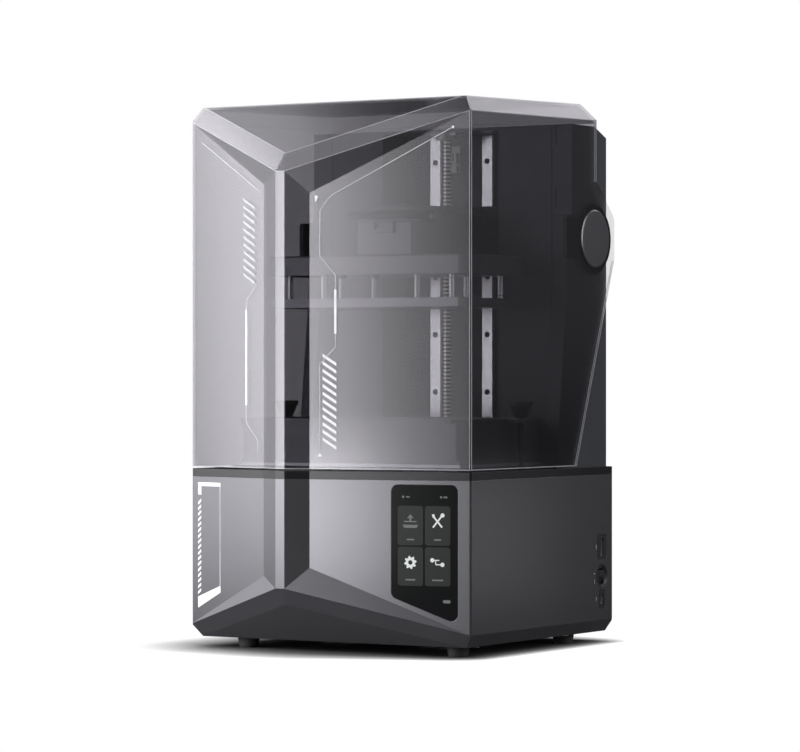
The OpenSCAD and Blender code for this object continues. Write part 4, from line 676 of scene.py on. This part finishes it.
def floor_and_world():
    """White paper with a painted contact shadow close under the object; a dim floor in reflections."""
    mat, tree, out = new_material("floor_paper")
    seen = tree.nodes.new("ShaderNodeLightPath").outputs["Is Camera Ray"]
    diffuse = tree.nodes.new("ShaderNodeBsdfDiffuse")
    tone = tree.nodes.new("ShaderNodeMix")
    tone.data_type = "RGBA"
    link(tree, painted_reflected_floor(tree), tone.inputs["A"])
    tone.inputs["B"].default_value = (PAPER, PAPER, PAPER, 1)
    link(tree, seen, tone.inputs["Factor"])
    link(tree, tone.outputs["Result"], diffuse.inputs["Color"])
    # painted contact shadow: ambient occlusion, raised to a power, dims the paper's white glow, with less
    # reach towards the right
    near = tree.nodes.new("ShaderNodeAmbientOcclusion")
    near.samples = 8
    link(tree, map_range(tree, object_axis(tree, "X"), PAINTED_SHADOW_REACH), near.inputs["Distance"])
    white = tree.nodes.new("ShaderNodeEmission")
    deep = math_node(tree, "POWER", near.outputs["AO"], PAINTED_SHADOW_POWER)
    link(tree, math_node(tree, "MULTIPLY", deep, PAPER_GLOW), white.inputs["Strength"])
    paper = tree.nodes.new("ShaderNodeMixShader")
    link(tree, math_node(tree, "MULTIPLY", seen, PAPER_SHARE), paper.inputs[0])
    link(tree, diffuse.outputs[0], paper.inputs[1])
    link(tree, white.outputs[0], paper.inputs[2])
    melt = tree.nodes.new("ShaderNodeMixShader")
    gone = math_node(tree, "SUBTRACT", 1.0, floor_fade(tree))
    link(tree, math_node(tree, "MULTIPLY", seen, gone), melt.inputs[0])
    link(tree, paper.outputs[0], melt.inputs[1])
    link(tree, tree.nodes.new("ShaderNodeBsdfTransparent").outputs[0], melt.inputs[2])
    link(tree, melt.outputs[0], out.inputs["Surface"])
    bpy.ops.mesh.primitive_plane_add(size=60, location=(0, 0, 0))
    ob = bpy.context.object
    ob.name = "floor"
    ob.data.materials.append(mat)
    room_world()


def room_world():
    """White behind the object; for everything else a dim room, darkest to the front right."""
    world = bpy.data.worlds.new("room")
    bpy.context.scene.world = world
    world.use_nodes = True
    tree = world.node_tree
    tree.nodes.clear()
    out = tree.nodes.new("ShaderNodeOutputWorld")
    tc = tree.nodes.new("ShaderNodeTexCoord")
    dot = tree.nodes.new("ShaderNodeVectorMath")
    dot.operation = "DOT_PRODUCT"
    dot.inputs[1].default_value = DARK_SIDE
    link(tree, tc.outputs["Generated"], dot.inputs[0])
    ramp = tree.nodes.new("ShaderNodeValToRGB")
    stops = ramp.color_ramp.elements
    stops.new(ROOM_TONES[1][0])
    for stop, (place, color) in zip(stops, ROOM_TONES):
        stop.position, stop.color = place, (*color, 1)
    link(tree, math_node(tree, "MULTIPLY_ADD", dot.outputs["Value"], 0.5, 0.5), ramp.inputs["Fac"])
    room = tree.nodes.new("ShaderNodeBackground")
    link(tree, ramp.outputs["Color"], room.inputs["Color"])
    white = tree.nodes.new("ShaderNodeBackground")
    white.inputs["Color"].default_value = (1, 1, 1, 1)
    path = tree.nodes.new("ShaderNodeLightPath").outputs
    mix = tree.nodes.new("ShaderNodeMixShader")
    link(tree, math_node(tree, "MAXIMUM", path["Is Camera Ray"], path["Is Transmission Ray"]), mix.inputs[0])
    link(tree, room.outputs[0], mix.inputs[1])
    link(tree, white.outputs[0], mix.inputs[2])
    link(tree, mix.outputs[0], out.inputs["Surface"])


def softbox(name, at, aim, size, watts):
    lamp = bpy.data.lights.new(name, "AREA")
    lamp.shape = "RECTANGLE"
    lamp.size, lamp.size_y = size
    lamp.energy = watts
    ob = bpy.data.objects.new(name, lamp)
    ob.location = at
    ob.rotation_euler = (Vector(aim) - Vector(at)).to_track_quat("-Z", "Y").to_euler()
    bpy.context.scene.collection.objects.link(ob)
    return lamp


def falloff(lamp, start, drop):
    """The lamp is full as far as x = start, and beyond it falls off along x as a scrim makes it do."""
    lamp.use_nodes = True
    tree = lamp.node_tree
    split = tree.nodes.new("ShaderNodeSeparateXYZ")
    link(tree, tree.nodes.new("ShaderNodeNewGeometry").outputs["Position"], split.inputs[0])
    along = math_node(tree, "SUBTRACT", start, split.outputs["X"])
    share = math_node(tree, "EXPONENT", math_node(tree, "DIVIDE", along, drop))
    link(tree, math_node(tree, "MINIMUM", share, 1.0), tree.nodes["Emission"].inputs["Strength"])


def lights():
    """A broad key ends where the right front panel starts to turn away; smaller ones serve the rest."""
    for name, (at, aim, size, watts) in LAMPS.items():
        lamp = softbox(name, at, aim, size, watts)
        if name == "key":
            falloff(lamp, KEY_FULL, KEY_DROP)


def camera():
    cam = bpy.data.cameras.new("camera")
    cam.sensor_width = 36.0
    cam.lens = LENS
    cam.clip_end = 100
    ob = bpy.data.objects.new("camera", cam)
    ob.location = CAMERA_AT
    ob.rotation_euler = (math.radians(90), 0, math.radians(YAW))
    bpy.context.scene.collection.objects.link(ob)
    bpy.context.scene.camera = ob


def main():
    bpy.context.scene.view_settings.view_transform = "Standard"
    camera()
    lights()
    floor_and_world()
    mats = make_materials()
    dress_nodes(mats)
    cover_highlight_lines(mats)
    cover_prints(mats)
    base_prints(mats)
    screen_picture(mats)


main()
